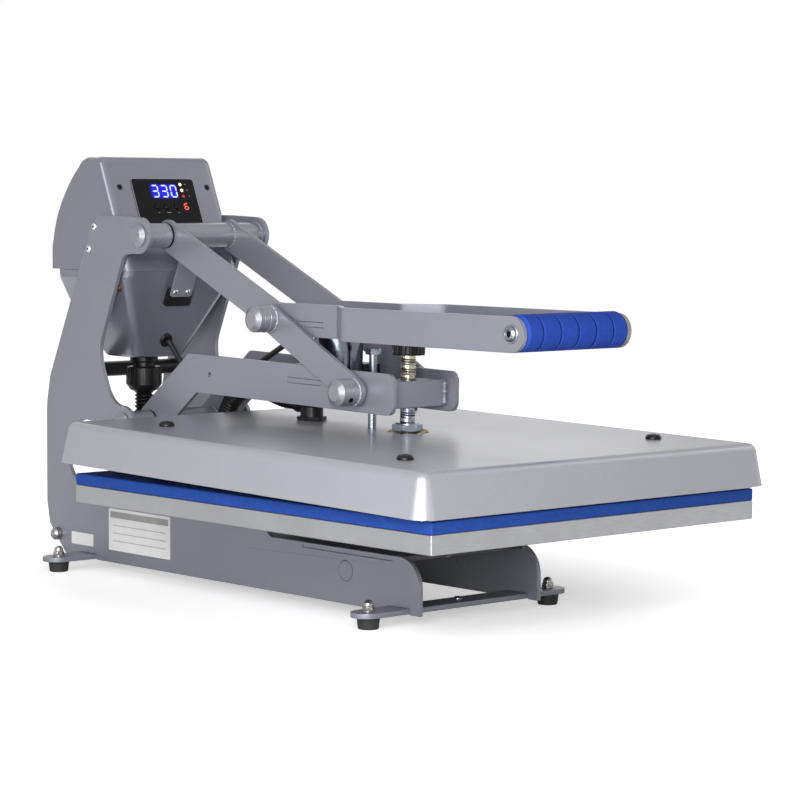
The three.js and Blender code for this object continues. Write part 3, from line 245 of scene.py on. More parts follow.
def brushed(colour, roughness, stretch):
    """Bare metal with fine scratches along one way and duller patches."""
    def dress(m):
        grain = m.noise(14, 4, stretch, 0.65)
        patches = m.range(m.noise(45, 4), 0.35, 0.7)
        tone = m.range(grain, 0.3, 0.7)
        worn = m.blend(tone, shade(colour, 0.82), shade(colour, 1.08))
        return {
            "Base Color": m.blend(patches * 0.35, worn, shade(colour, 0.78)),
            "Metallic": 1.0,
            "Roughness": m.range(tone * 0.6 + patches * 0.4, 0, 1, roughness - 0.07, roughness + 0.13),
            "Normal": m.bump(grain, 0.03, 0.6),
        }
    return dress


def plated(colour, roughness=0.18, tint=None, depth=0.01):
    """Plating: bright, with a faint stain."""
    def dress(m):
        stain = m.range(m.noise(9, 4), 0.35, 0.7)
        smear = m.noise(2.2, 3)
        return {
            "Base Color": m.blend(stain, colour, tint or shade(colour, 0.85)),
            "Metallic": 1.0,
            "Roughness": m.range(smear, 0.2, 0.8, roughness * 0.6, roughness * 1.5),
            "Normal": m.bump(smear, depth, 0.4),
        }
    return dress


def moulded(colour, roughness=0.45, grain=0.6, depth=0.03, gloss=0.5):
    """Moulded plastic or rubber with a fine grain."""
    def dress(m):
        texture = m.noise(grain, 3)
        dust = m.range(m.noise(30, 4), 0.45, 0.75)
        return {
            "Base Color": m.blend(dust * 0.5, colour, shade(colour, 1.8)),
            "Specular IOR Level": gloss,
            "Roughness": m.range(texture * 0.5 + dust * 0.5, 0, 1, roughness - 0.07, roughness + 0.12),
            "Normal": m.bump(texture, depth, 0.6),
        }
    return dress


def sponge(colour, cell, depth, pitch=None):
    """Closed cell foam: small pores, uneven dye, and, where a pitch is given, painted shade darkening the
    slits across it.
    """
    def dress(m):
        values = {"Vector": m.place(), "Scale": 1000 / cell}
        pores = m.range(m.add("ShaderNodeTexVoronoi", values=values), 0.05, 0.6)
        mottle = m.range(m.noise(6, 4), 0.3, 0.7)
        dye_and_slit_shade = m.blend(mottle, shade(colour, 0.84), shade(colour, 1.1))
        if pitch:
            # Painted shade: the colour is darkened inside each slit, where the groove would lie in shade
            x = m.add("ShaderNodeSeparateXYZ", values={0: m.place()}, out="X")
            inside = m.range(x.sum("PINGPONG", x + pitch * 20, pitch / 2), 0.0006, 0.0011)
            dye_and_slit_shade = m.blend(inside, shade(colour, 0.2), dye_and_slit_shade)
        return {
            "Base Color": m.blend(pores, shade(colour, 0.72), dye_and_slit_shade),
            "Specular IOR Level": 0.2,
            "Roughness": m.range(mottle, 0, 1, 0.69, 0.83),
            "Normal": m.bump(pores * 0.7 + mottle * 0.3, depth, 0.7),
        }
    return dress


def glowing(colour, strength):
    """A lit digit or lamp, a little uneven."""
    def dress(m):
        flicker = m.range(m.noise(1.2, 2), 0.2, 0.8, 0.9, 1)
        return {
            "Base Color": (0.01, 0.01, 0.01),
            "Roughness": 0.3,
            "Emission Color": m.blend(flicker, shade(colour, 0.8), colour),
            "Emission Strength": strength,
        }
    return dress


def lit_window(colour, strength, centre, half):
    """A display lit from behind, whose glow fades at the ends of its digits."""
    def dress(m):
        place = m.add("ShaderNodeSeparateXYZ", values={0: m.place(centre=centre)}, out="X")
        glow = 1
        for axis, reach in zip("XZ", half):
            away = place.sum("ABSOLUTE", place.also(axis))
            glow = m.range(away, reach, reach + GLOW_FADE, 1, 0) * glow
        flicker = m.range(m.noise(1.2, 2), 0.2, 0.8, 0.9, 1)
        return {
            "Base Color": (0.003, 0.003, 0.004),
            "Roughness": 0.3,
            "Specular IOR Level": 0.15,
            "Emission Color": m.blend(glow * flicker, (0, 0, 0.004), colour),
            "Emission Strength": strength,
        }
    return dress


def zinc_screw(height):
    """Zinc plating, yellowed above the bar that the screw runs through and bluish below it."""
    def dress(m):
        z = m.add("ShaderNodeSeparateXYZ", values={0: m.place()}, out="Z")
        above = m.range(z, height - 0.02, height + 0.02)
        stain = m.range(m.noise(6, 3), 0.3, 0.7)
        yellow = m.blend(stain, (0.45, 0.43, 0.38), (0.4, 0.35, 0.24))
        blue = m.blend(stain, (0.42, 0.47, 0.53), (0.33, 0.38, 0.45))
        return {
            "Base Color": m.blend(above, blue, yellow),
            "Metallic": 1.0,
            "Roughness": m.range(stain, 0, 1, 0.16, 0.28),
        }
    return dress


def blanket(colour):
    """Glass fibre felt: crossed threads and tufts."""
    def dress(m):
        threads = m.noise(3, 4, (1, 8, 1)) * 0.5 + m.noise(3, 4, (8, 1, 1)) * 0.5
        return {
            "Base Color": m.blend(m.range(threads, 0.35, 0.65), shade(colour, 0.7), shade(colour, 1.15)),
            "Roughness": m.range(threads, 0, 1, 0.85, 1),
            "Normal": m.bump(threads, 0.4, 0.8),
        }
    return dress


# The frame's grey darkened for the platen support: painted shade for the tunnel under the platen
channel_paint = finish("channel_paint", paint((0.07, 0.072, 0.08), 0.5, 0.3, 0.05))
copper = finish("copper", plated((0.36, 0.17, 0.1), 0.24))
frame_paint = finish("frame_paint", paint((0.235, 0.241, 0.282)))
pin_paint = finish("pin_paint", paint((0.26, 0.264, 0.295), 0.3, 0.55, 0.35))
cover_paint = finish("cover_paint", paint((0.37, 0.374, 0.41), 0.36, 0.5, 0.2))
shell_paint = finish("shell_paint", paint((0.2, 0.204, 0.25), 0.24, 0.5, 0.6))
black_paint = finish("black_paint", paint((0.02, 0.02, 0.022), 0.4, 0.1))
bare_aluminium = finish("bare_aluminium", brushed((0.39, 0.393, 0.415), 0.36, (1, 30, 30)))
plain_steel = finish("plain_steel", brushed((0.36, 0.36, 0.37), 0.3, (1, 1, 20)))
zinc_steel = finish("zinc_steel", plated((0.5, 0.5, 0.5), 0.26, (0.46, 0.42, 0.3), 0.003))
screw_zinc = finish("screw_zinc", zinc_screw(0.2037))
nickel = finish("nickel", plated((0.42, 0.4, 0.38), 0.14))
chrome = finish("chrome", plated((0.72, 0.74, 0.78), 0.08))
dark_chrome = finish("dark_chrome", plated((0.16, 0.175, 0.215), 0.14, None, 0.0005))
bolt_steel = finish("bolt_steel", plated((0.27, 0.3, 0.35), 0.28, None, 0.0005))
black_screw = finish("black_screw", plated((0.035, 0.035, 0.037), 0.35))
# Near black for screw sockets, a set screw hole and a gap between parts: painted shade
dark_hole = finish("dark_hole", moulded((0.004, 0.004, 0.004), 0.8, gloss=0.1))
foot_rubber = finish("foot_rubber", moulded((0.014, 0.014, 0.015), 0.6, 1.2, 0.05))
black_plastic = finish("black_plastic", moulded((0.006, 0.006, 0.007), 0.34, gloss=0.25))
knob_black = finish("knob_black", moulded((0.003, 0.003, 0.0035), 0.24, gloss=0.2))
cable_sheath = finish("cable_sheath", moulded((0.01, 0.01, 0.011), 0.4, 2.0))
overlay_black = finish("overlay_black", moulded((0.004, 0.004, 0.005), 0.35, 3.0, 0.01, 0.12))
board_green = finish("board_green", moulded((0.01, 0.07, 0.03), 0.45))
pad_blue = finish("pad_blue", sponge((0.0145, 0.058, 0.29), 1.6, 0.2))
# The grip's slits carry painted shade in their colour
grip_blue = finish("grip_blue", sponge((0.019, 0.06, 0.37), 0.9, 0.08, SLIT_PITCH / 1000))
label_white = finish("label_white", moulded((0.78, 0.78, 0.78), 0.4, 5, 0.01))
label_grey = finish("label_grey", moulded((0.3, 0.3, 0.3), 0.4, 5, 0.01))
display_glow = finish("display_glow", lit_window((0.012, 0.008, 0.75), 1.0, WINDOW_CENTRE, WINDOW_HALF))
digit_blue = finish("digit_blue", glowing((0.5, 0.58, 1.0), 1.6))
lamp_amber = finish("lamp_amber", glowing((1.0, 0.72, 0.5), 2.2))
lamp_red = finish("lamp_red", glowing((0.5, 0.01, 0.005), 0.9))
digit_red = finish("digit_red", glowing((1.0, 0.1, 0.03), 1.5))
felt = finish("felt", blanket((0.4, 0.35, 0.24)))


# Outlines in a plane
def arc(x, y, radius, start, end, step=7.5):
    count = max(2, math.ceil(abs(end - start) / step))
    angles = [radians(start + (end - start) * i / count) for i in range(count + 1)]
    return [(x + radius * cos(a), y + radius * sin(a)) for a in angles]


def circle(x, y, radius, count=48):
    return [(x + radius * cos(2 * pi * i / count), y + radius * sin(2 * pi * i / count))
            for i in range(count)]


def bend(start, corner, end, count=8):
    shares = [i / count for i in range(1, count + 1)]
    return [tuple((1 - t) ** 2 * a + 2 * t * (1 - t) * b + t * t * c for a, b, c in zip(start, corner, end))
            for t in shares]


def rounded(corners, closed=True, step=11.25):
    """An outline with a radius at each corner, or a profile that keeps its two ends."""
    line = []
    for i, (x, y, radius) in enumerate(corners):
        if not radius or not closed and i in (0, len(corners) - 1):
            line.append((x, y))
            continue
        corner = Vector((x, y))
        back = Vector(corners[i - 1][:2]) - corner
        ahead = Vector(corners[(i + 1) % len(corners)][:2]) - corner
        half = back.angle(ahead) / 2
        radius = min(radius, 0.49 * tan(half) * min(back.length, ahead.length))
        back.normalize()
        ahead.normalize()
        centre = corner + (back + ahead).normalized() * (radius / sin(half))
        first = corner + back * (radius / tan(half)) - centre
        turn = pi - 2 * half
        sign = 1 if back.cross(ahead) < 0 else -1
        start = math.degrees(math.atan2(first.y, first.x))
        line += arc(*centre, radius, start, start + sign * math.degrees(turn), step)
    return line


def rectangle(x0, x1, y0, y1, radius=0.0, step=11.25):
    return rounded([(x0, y0, radius), (x1, y0, radius), (x1, y1, radius), (x0, y1, radius)], True, step)


def band(line, half, outer, inner, start, end):
    """A strip of constant width along a bent line. A fully round end passes its point by its radius."""
    points = [Vector(p) for p in line]
    last = len(points) - 1

    def leaving(i):
        return (points[i + 1] - points[i]).normalized()

    def edge(sign):
        corners = []
        for i, point in enumerate(points):
            if i in (0, last):
                way = leaving(i - 1 if i else 0)
                radius = end if i else start
                reach = 0 if radius < half else radius
                tip = point + way * (reach if i else -reach)
                tip += Vector((-way.y, way.x)) * sign * half
                corners.append((*tip, radius * 0.999))
                continue
            before, after = leaving(i - 1), leaving(i)
            left = Vector((-before.y, before.x))
            mitre = (left + Vector((-after.y, after.x))).normalized()
            corner = point + mitre * (sign * half / mitre.dot(left))
            turns_left = before.cross(after) > 0
            corners.append((*corner, inner if turns_left == (sign > 0) else outer))
        return corners

    return rounded([*edge(-1), *reversed(edge(1))], True, 6)


def spun(loop, clockwise=False):
    area = sum(a[0] * b[1] - b[0] * a[1] for a, b in zip(loop, loop[1:] + loop[:1]))
    return loop[::-1] if (area < 0) != clockwise else loop


def inset(loop, depths):
    """A loop moved to its left, into the material, by one depth or one for each point."""
    further_in = []
    for i, point in enumerate(loop):
        depth = depths[i] if isinstance(depths, list) else depths
        before = (Vector(point) - Vector(loop[i - 1])).normalized()
        after = (Vector(loop[(i + 1) % len(loop)]) - Vector(point)).normalized()
        first, second = Vector((-before.y, before.x)), Vector((-after.y, after.x))
        further_in.append(tuple(Vector(point) + (first + second) * (depth / (1 + first.dot(second)))))
    return further_in


# Meshes, drawn in millimetres
def outward(mesh):
    work = bmesh.new()
    work.from_mesh(mesh)
    bmesh.ops.remove_doubles(work, verts=work.verts, dist=1e-5)
    bmesh.ops.recalc_face_normals(work, faces=work.faces)
    work.to_mesh(mesh)
    work.free()
    return mesh


def shift(x, y, z=0):
    return Matrix.Translation((x, y, z))


def placed(mesh, *matrices):
    for matrix in matrices:
        mesh.transform(matrix)
    if matrices and sum(1 for m in matrices if m.to_3x3().determinant() < 0) % 2:
        mesh.flip_normals()
    return mesh


def solid(walls, ends=True):
    """A closed mesh. Each wall is a row of rings from the low face to the high one, the outside first."""
    points, faces, lows, highs = [], [], [], []
    for rings in walls:
        count, base = len(rings[0]), len(points)
        for ring in rings:
            points += ring
        for r in range(len(rings) - 1 if ends else len(rings)):
            near, far = base + r * count, base + (r + 1) % len(rings) * count
            faces += [(near + i, near + (i + 1) % count, far + (i + 1) % count, far + i)
                      for i in range(count)]
        lows.append(range(base, base + count))
        highs.append(range(len(points) - count, len(points)))
    for loops in (lows, highs) if ends else ():
        index = [i for loop in loops for i in loop]
        flat = tessellate_polygon([[Vector(points[i]) for i in loop] for loop in loops])
        faces += [tuple(index[i] for i in face) for face in flat]
    mesh = bpy.data.meshes.new("solid")
    mesh.from_pydata(points, [], faces)
    return outward(mesh)


def slab(outline, low, high, holes=(), edge=0.5, steps=2):
    """A plate with rounded rims, lying flat."""
    def rings(loop):
        levels = [(edge * (1 - sin(pi / 2 * k / steps)), edge * (1 - cos(pi / 2 * k / steps)))
                  for k in range(steps + 1)]
        low_side = [[(*p, low + rise) for p in inset(loop, depth)] for depth, rise in levels]
        high_side = [[(*p, high - rise) for p in inset(loop, depth)] for depth, rise in reversed(levels)]
        return low_side + high_side
    return solid([rings(spun(outline)), *(rings(spun(hole, True)) for hole in holes)])


def upright(outline, x0, x1, **more):
    """A plate drawn in Y and Z, between two places across the press."""
    return placed(slab(outline, min(x0, x1), max(x0, x1), **more), UPRIGHT)


def block(x0, x1, y0, y1, z0, z1, edge=0.5):
    return slab(rectangle(x0, x1, y0, y1, edge, 30), z0, z1, edge=edge)


def turned(profile, steps=48, fillet=0.4):
    """A turned piece round Z, from [place along, radius] points with softened corners."""
    line = rounded([(along, radius, fillet) for along, radius in profile], False, 22.5)
    line = [point for point in line if point[1] > 1e-6]
    return solid([[[(*p, along) for p in circle(0, 0, r, steps)] for along, r in line]])


def pipe(radius, bore, low, high, steps=48, fillet=0.4):
    corners = [(low, bore), (low, radius), (high, radius), (high, bore)]
    line = rounded([(*corner, fillet) for corner in corners], True, 30)
    return solid([[[(*p, along) for p in circle(0, 0, r, steps)] for along, r in line]], False)


def across(mesh, y, z):
    """A turned piece laid along X, at a place in the drawing."""
    return placed(mesh, ALONG_X, shift(0, y, z))


def mirrored(sign, profile):
    return [(sign * along, radius) for along, radius in profile]


def hexed(radius, profile, steps=72):
    """A hexagon bar with its ends turned to a profile."""
    def reach(angle):
        return radius * cos(pi / 6) / cos((angle + pi / 6) % (pi / 3) - pi / 6)
    rings = []
    for along, limit in profile:
        angles = [2 * pi * i / steps for i in range(steps)]
        rings.append([(min(reach(a), limit) * cos(a), min(reach(a), limit) * sin(a), along)
                      for a in angles])
    return solid([rings])


def bored(radius, depth, top):
    """A hexagon socket, shown as a short black plug just proud of a head: painted shade for its depth."""
    return solid([[[(*p, z) for p in circle(0, 0, radius, 6)] for z in (top - depth, top)]])


def of_cad(node, edge=0.4):
    """A merged copy of a node's own shape with its edges softened, back in millimetres."""
    work = bmesh.new()
    work.from_mesh(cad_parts[node].data)
    bmesh.ops.scale(work, vec=(1000, 1000, 1000), verts=work.verts)
    bmesh.ops.remove_doubles(work, verts=work.verts, dist=1e-3)
    bmesh.ops.dissolve_limit(work, angle_limit=radians(1), verts=work.verts, edges=work.edges)
    edges = [e for e in work.edges if len(e.link_faces) == 2 and e.calc_face_angle(0) > radians(30)]
    bmesh.ops.bevel(work, geom=edges, offset=edge, segments=2, profile=0.5, affect="EDGES",
                    clamp_overlap=True)
    bmesh.ops.translate(work, vec=(0, FOOTPRINT_Y, 0), verts=work.verts)
    mesh = bpy.data.meshes.new(node)
    work.to_mesh(mesh)
    work.free()
    return mesh


def piece(name, parts, body, nodes=(), at=DRAWING, sharp=32):
    """One piece from meshes and their finishes, which may ride on a body and stand for nodes."""
    work = bmesh.new()
    whole = bpy.data.meshes.new(name)
    for mesh, material in parts:
        if material.name not in whole.materials:
            whole.materials.append(material)
        before = len(work.faces)
        work.from_mesh(mesh)
        work.faces.ensure_lookup_table()
        for face in work.faces[before:]:
            face.material_index = whole.materials.find(material.name)
            face.smooth = True
        bpy.data.meshes.remove(mesh)
    work.to_mesh(whole)
    work.free()
    whole.transform(at)
    whole.set_sharp_from_angle(angle=radians(sharp))
    made = bpy.data.objects.new(name, whole)
    bpy.context.scene.collection.objects.link(made)
    normals = made.modifiers.new("even_normals", "WEIGHTED_NORMAL")
    normals.keep_sharp = True
    if body:
        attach(made, body)
    if nodes:
        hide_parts(*([nodes] if isinstance(nodes, str) else nodes))
    return made


def clothe(node, parts, body, at=DRAWING, sharp=32):
    """The piece that stands for one node, named after it."""
    return piece(f"{node}_dressed", parts, body, node, at, sharp)


# Node trees for what repeats or follows a path
def new_tree(name, inputs):
    tree = bpy.data.node_groups.new(name, "GeometryNodeTree")
    tree.interface.new_socket("Geometry", in_out="INPUT", socket_type="NodeSocketGeometry")
    for label, kind in inputs:
        tree.interface.new_socket(label, in_out="INPUT", socket_type=f"NodeSocket{kind}")
    tree.interface.new_socket("Geometry", in_out="OUTPUT", socket_type="NodeSocketGeometry")
    maker = Maker(tree)
    given = maker.add("NodeGroupInput")
    return tree, maker, given


def ends_in(maker, given, geometry):
    """Ends a tree: real faces, in the piece's finish."""
    real = maker.add("GeometryNodeRealizeInstances", values={"Geometry": geometry})
    dressed = maker.add("GeometryNodeSetMaterial", values={
        "Geometry": real, "Material": given.also("Finish")})
    maker.add("NodeGroupOutput", values={"Geometry": dressed})


def pattern_tree():
    """Copies of a pattern piece on the points of a mesh, each at one turn."""
    tree, m, given = new_tree("copies_on_points", [
        ("Pattern", "Object"), ("Turn", "Vector"), ("Finish", "Material")])
    pattern = m.add("GeometryNodeObjectInfo", values={"Object": given.also("Pattern")}, out="Geometry")
    copies = m.add("GeometryNodeInstanceOnPoints", values={
        "Points": given.also("Geometry"), "Instance": pattern, "Rotation": given.also("Turn")})
    ends_in(m, given, copies)
    return tree


def round_tree():
    """Copies of a pattern piece in a circle round Z, each facing out."""
    tree, m, given = new_tree("copies_in_a_circle", [
        ("Pattern", "Object"), ("Count", "Int"), ("Radius", "Float"), ("Finish", "Material")])
    ring = m.add("GeometryNodeMeshCircle", values={
        "Vertices": given.also("Count"), "Radius": given.also("Radius")})
    facing = m.add("FunctionNodeAlignRotationToVector", {"axis": "X"},
                   {"Vector": m.add("GeometryNodeInputPosition")})
    pattern = m.add("GeometryNodeObjectInfo", values={"Object": given.also("Pattern")}, out="Geometry")
    copies = m.add("GeometryNodeInstanceOnPoints", values={
        "Points": ring, "Instance": pattern, "Rotation": facing})
    ends_in(m, given, copies)
    return tree


def hose_tree():
    """A ribbed hose along a path: its radius waves along its length."""
    tree, m, given = new_tree("ribbed_hose", [
        ("Radius", "Float"), ("Rib depth", "Float"), ("Rib pitch", "Float"), ("Steps in a rib", "Int"),
        ("Finish", "Material")])
    path = m.add("GeometryNodeMeshToCurve", values={"Mesh": given.also("Geometry")})
    step = given.also("Rib pitch") / given.also("Steps in a rib")
    even = m.add("GeometryNodeResampleCurve", {"mode": "LENGTH"}, {"Curve": path, "Length": step})
    along = m.add("GeometryNodeSplineParameter", out="Length")
    angle = along * (2 * pi) / given.also("Rib pitch")
    wave = angle.sum("COSINE", angle)
    rib = (0.5 + wave * 0.5) ** 0.6
    radius = given.also("Radius") - given.also("Rib depth") * (1 - rib)
    section = m.add("GeometryNodeCurvePrimitiveCircle", values={"Resolution": 32, "Radius": 1.0})
    skin = m.add("GeometryNodeCurveToMesh", values={
        "Curve": even, "Profile Curve": section, "Scale": radius, "Fill Caps": True})
    ends_in(m, given, skin)
    return tree


def thread_tree():
    """A screw thread: a spiral ridge of a small section."""
    tree, m, given = new_tree("screw_thread", [
        ("Radius", "Float"), ("Pitch", "Float"), ("Length", "Float"), ("Depth", "Float"),
        ("Finish", "Material")])
    turns = given.also("Length") / given.also("Pitch")
    spiral = m.add("GeometryNodeCurveSpiral", values={
        "Resolution": 28, "Rotations": turns, "Start Radius": given.also("Radius"),
        "End Radius": given.also("Radius"), "Height": given.also("Length")})
    section = m.add("GeometryNodeCurvePrimitiveCircle", values={
        "Resolution": 4, "Radius": given.also("Depth")})
    ridge = m.add("GeometryNodeCurveToMesh", values={
        "Curve": spiral, "Profile Curve": section, "Fill Caps": True})
    ends_in(m, given, ridge)
    return tree


def bead_tree():
    """A weld bead: overlapping drops along a path, each a little different."""
    tree, m, given = new_tree("weld_bead", [("Radius", "Float"), ("Seed", "Int"), ("Finish", "Material")])
    path = m.add("GeometryNodeMeshToCurve", values={"Mesh": given.also("Geometry")})
    step = given.also("Radius") * 0.75
    even = m.add("GeometryNodeResampleCurve", {"mode": "LENGTH"}, {"Curve": path, "Length": step})
    drop = m.add("GeometryNodeMeshUVSphere", values={
        "Segments": 12, "Rings": 8, "Radius": given.also("Radius")})
    size = m.add("FunctionNodeRandomValue", {"data_type": "FLOAT"},
                 {2: 0.75, 3: 1.1, "Seed": given.also("Seed")}, out=1)
    drops = m.add("GeometryNodeInstanceOnPoints", values={"Points": even, "Instance": drop, "Scale": size})
    ends_in(m, given, drops)
    return tree


copies_on_points = pattern_tree()
copies_in_a_circle = round_tree()
ribbed_hose = hose_tree()
screw_thread = thread_tree()
weld_bead = bead_tree()


def path_mesh(points):
    mesh = bpy.data.meshes.new("path")
    mesh.from_pydata(points, [(i, i + 1) for i in range(len(points) - 1)], [])
    return mesh


def grown(tree, mesh, **sizes):
    """The plain mesh that a tree makes."""
    source = bpy.data.objects.new(tree.name, mesh)
    bpy.context.scene.collection.objects.link(source)
    modifier = source.modifiers.new(tree.name, "NODES")
    modifier.node_group = tree
    for item in tree.interface.items_tree:
        key = item.name.lower().replace(" ", "_")
        if item.in_out == "INPUT" and key in sizes:
            modifier[item.identifier] = sizes[key]
    bpy.context.view_layer.update()
    result = bpy.data.meshes.new_from_object(source.evaluated_get(bpy.context.evaluated_depsgraph_get()))
    bpy.data.objects.remove(source)
    return result


def repeated(tree, pattern, mesh, **sizes):
    """What a tree makes with copies of a pattern mesh."""
    template = bpy.data.objects.new("pattern", pattern)
    bpy.context.scene.collection.objects.link(template)
    result = grown(tree, mesh, pattern=template, **sizes)
    bpy.data.objects.remove(template)
    return result


def bead(points, radius, seed):
    return grown(weld_bead, path_mesh(points), radius=radius, seed=seed, finish=frame_paint)


def ring_bead(x, y, z, radius, size, start=0, end=360, seed=1):
    """A weld round a bar that lies along X."""
    return bead([(x, y + r, z + s) for r, s in arc(0, 0, radius, start, end)], size, seed)


def smooth_path(points, count=160):
    """A curve through its points, as even steps."""
    knots = [Vector(points[0]) * 2 - Vector(points[1]), *map(Vector, points),
             Vector(points[-1]) * 2 - Vector(points[-2])]
    spans = len(points) - 1
    line = []
    for k in range(count + 1):
        place = min(k / count * spans, spans - 1e-9)
        i = int(place)
        a, b, c, d = knots[i:i + 4]
        times = [0]
        for p, q in ((a, b), (b, c), (c, d)):
            times.append(times[-1] + max((q - p).length, 1e-6) ** 0.5)
        t = times[1] + (place - i) * (times[2] - times[1])

        def mix(p, q, t0, t1):
            return p * ((t1 - t) / (t1 - t0)) + q * ((t - t0) / (t1 - t0))
        ab, bc, cd = (mix(a, b, times[0], times[1]), mix(b, c, times[1], times[2]),
                      mix(c, d, times[2], times[3]))
        line.append(tuple(mix(mix(ab, bc, times[0], times[2]), mix(bc, cd, times[1], times[3]),
                              times[1], times[2])))
    return line


# Screw heads
def button_head(radius, height, socket):
    """A domed head with a hexagon socket, drawn on its seat."""
    profile = [(0, 0), (0, radius), (height * 0.4, radius), (height * 0.85, radius * 0.84),
               (height, radius * 0.62), (height, 0)]
    return turned(profile, 32, 0.6), bored(socket, height, height + 0.06)


def heads(head, points, turn=(0, 0, 0), metal=black_screw):
    """Equal screw heads at points, turned alike."""
    meshes = []
    for mesh, material in zip(head, (metal, dark_hole)):
        spots = bpy.data.meshes.new("spots")
        spots.from_pydata(points, [], [])
        meshes.append((repeated(copies_on_points, mesh, spots, turn=turn, finish=material), material))
    return meshes


# Frame: side plates with their welded spacers, foot plates, deck and platen
# The uprights' edges, as shares of these lengths, from the lower pivot in front and from the floor behind
UPRIGHT_DEPTH = 135
UPRIGHT_RISE = 193
UPRIGHT_HEIGHT = 368
UPRIGHT_FRONT = [(-0.104, 0.904), (-0.013, 0.904), (0.016, 0.85), (0.266, 0.446), (0.307, 0.378),
                 (0.259, 0.285), (0.189, 0.181), (0.118, 0.096)]
UPRIGHT_REAR = [(0.081, 1), (0.289, 1), (0.319, 0.996), (0.422, 0.952), (0.952, 0.538), (0.993, 0.468),
                (1, 0.44), (1, 0.177), (0.963, 0.111), (0.76, 0.037), (0.726, 0.0277)]
FOOT_X = 114.5
FRONT_FOOT_Y = -74.6
REAR_FOOT_Y = 410.8


def side_plate_outline():
    pivot_y, pivot_z = LOWER_PIVOT
    front = [(pivot_y + y * UPRIGHT_DEPTH, pivot_z + z * UPRIGHT_RISE) for y, z in UPRIGHT_FRONT]
    rear = [(pivot_y + y * UPRIGHT_DEPTH, z * UPRIGHT_HEIGHT) for y, z in UPRIGHT_REAR]
    line = [(-102.3, 10.2), *arc(-74.8, 34.9, 27.5, 180, 90)]
    line += [(-65.3, 62.4), (-65.3, 57.3), (62.3, 57.3), (62.3, 62.4), (108.7, 62.4), (113, 64.5),
             (117, 68.5), (119, 74), (120, 92.1)]
    line += arc(411.5, 120, 35.5, -90, 100)
    line += arc(*LOWER_PIVOT, 18.5, -70, -270)
    line += bend(line[-1], front[7], front[6])
    line += [front[5], *bend(front[5], front[4], front[3])]
    line += [front[2], *bend(front[2], front[1], front[0])]
    line += arc(*TOP_PIVOT, 18.5, -90, -270)
    line += rear
    for y in (REAR_FOOT_Y, FRONT_FOOT_Y):
        line += [(y + 15.05, 10.2), (y + 15.05, 16.1), (y - 15.05, 16.1), (y - 15.05, 10.2)]
    return line


def make_side_plates():
    outline = side_plate_outline()
    knock_out = (-0.5, 41.4)
    for side, sign in SIDES:
        inner, outer = sign * (FRAME_X - PLATE), sign * FRAME_X
        parts = [
            (upright(outline, inner, outer, holes=[circle(*knock_out, 9.8)]), frame_paint),
            (upright(circle(*knock_out, 9.45), inner, outer, edge=0.25), frame_paint),
        ]
        for pivot in (TOP_PIVOT, LOWER_PIVOT):
            spacer = pipe(HUB, SHAFT_BORE, *sorted((sign * 43.9, sign * 75)))
            # A black ring in the gap between the spacer and the handle plate: painted shade
            gap_shade_ring = pipe(HUB + 0.2, SHAFT_BORE, *sorted((sign * 42.2, sign * 43.8)), fillet=0.2)
            parts += [(across(spacer, *pivot), pin_paint), (across(gap_shade_ring, *pivot), dark_hole)]
            parts.append((ring_bead(inner, *pivot, HUB, 1.1), frame_paint))
        clothe(f"side_plate_{side}", parts, "frame")


def make_foot_plates():
    for end, y in (("front", FRONT_FOOT_Y), ("rear", REAR_FOOT_Y)):
        outline = [*arc(116.7, y, 14.75, -90, 90), *arc(-116.7, y, 14.75, 90, 270)]
        plate = slab(outline, 11, 15.8, [circle(FOOT_X, y, 3.3, 24), circle(-FOOT_X, y, 3.3, 24)])
        clothe(f"{end}_foot_plate", [(plate, frame_paint)], "frame")
        for side, sign in SIDES:
            spot = shift(sign * FOOT_X, y)
            cup = turned([(0, 0), (0, 9.1), (1.2, 9.6), (9, 10.6), (9.6, 10.9), (10.2, 10.5), (10.2, 0)],
                         48, 0.7)
            stud = turned([(9.5, 0), (9.5, 3), (23.3, 3), (23.3, 0)], 24)
            seat = pipe(9.2, 3.2, 10.2, 10.95, 36, 0.2)
            parts = [(placed(cup, spot), foot_rubber), (placed(stud, spot), nickel),
                     (placed(seat, spot), nickel)]
            clothe(f"rubber_foot_{end}_{side}", parts, "frame")
            washer = pipe(6.7, 3.3, 15.85, 16.6, 36, 0.3)
            nut = hexed(5.8, [(16.6, 5.2), (17, 5.8), (19.8, 5.8), (20.4, 5.2)], 72)
            dome = [(21.9 + 4.7 * sin(a), 4.7 * cos(a) + 0.05) for a in [pi / 2 * k / 8 for k in range(9)]]
            cap = turned([(19.6, 0), (19.6, 4.75), *dome], 36, 0.2)
            parts = [(placed(m, spot), nickel) for m in (washer, nut, cap)]
            clothe(f"acorn_nut_{end}_{side}", parts, "frame")
    bolt = (turned([(0, 0), (0, 4.4), (1.4, 4.2), (2.6, 2.6), (2.8, 0)], 32, 0.5), bored(1.6, 0.6, 2.86))
    piece("foot_plate_bolt", heads(bolt, [(-1.3, -72.1, 15.8)], metal=bolt_steel), "frame")


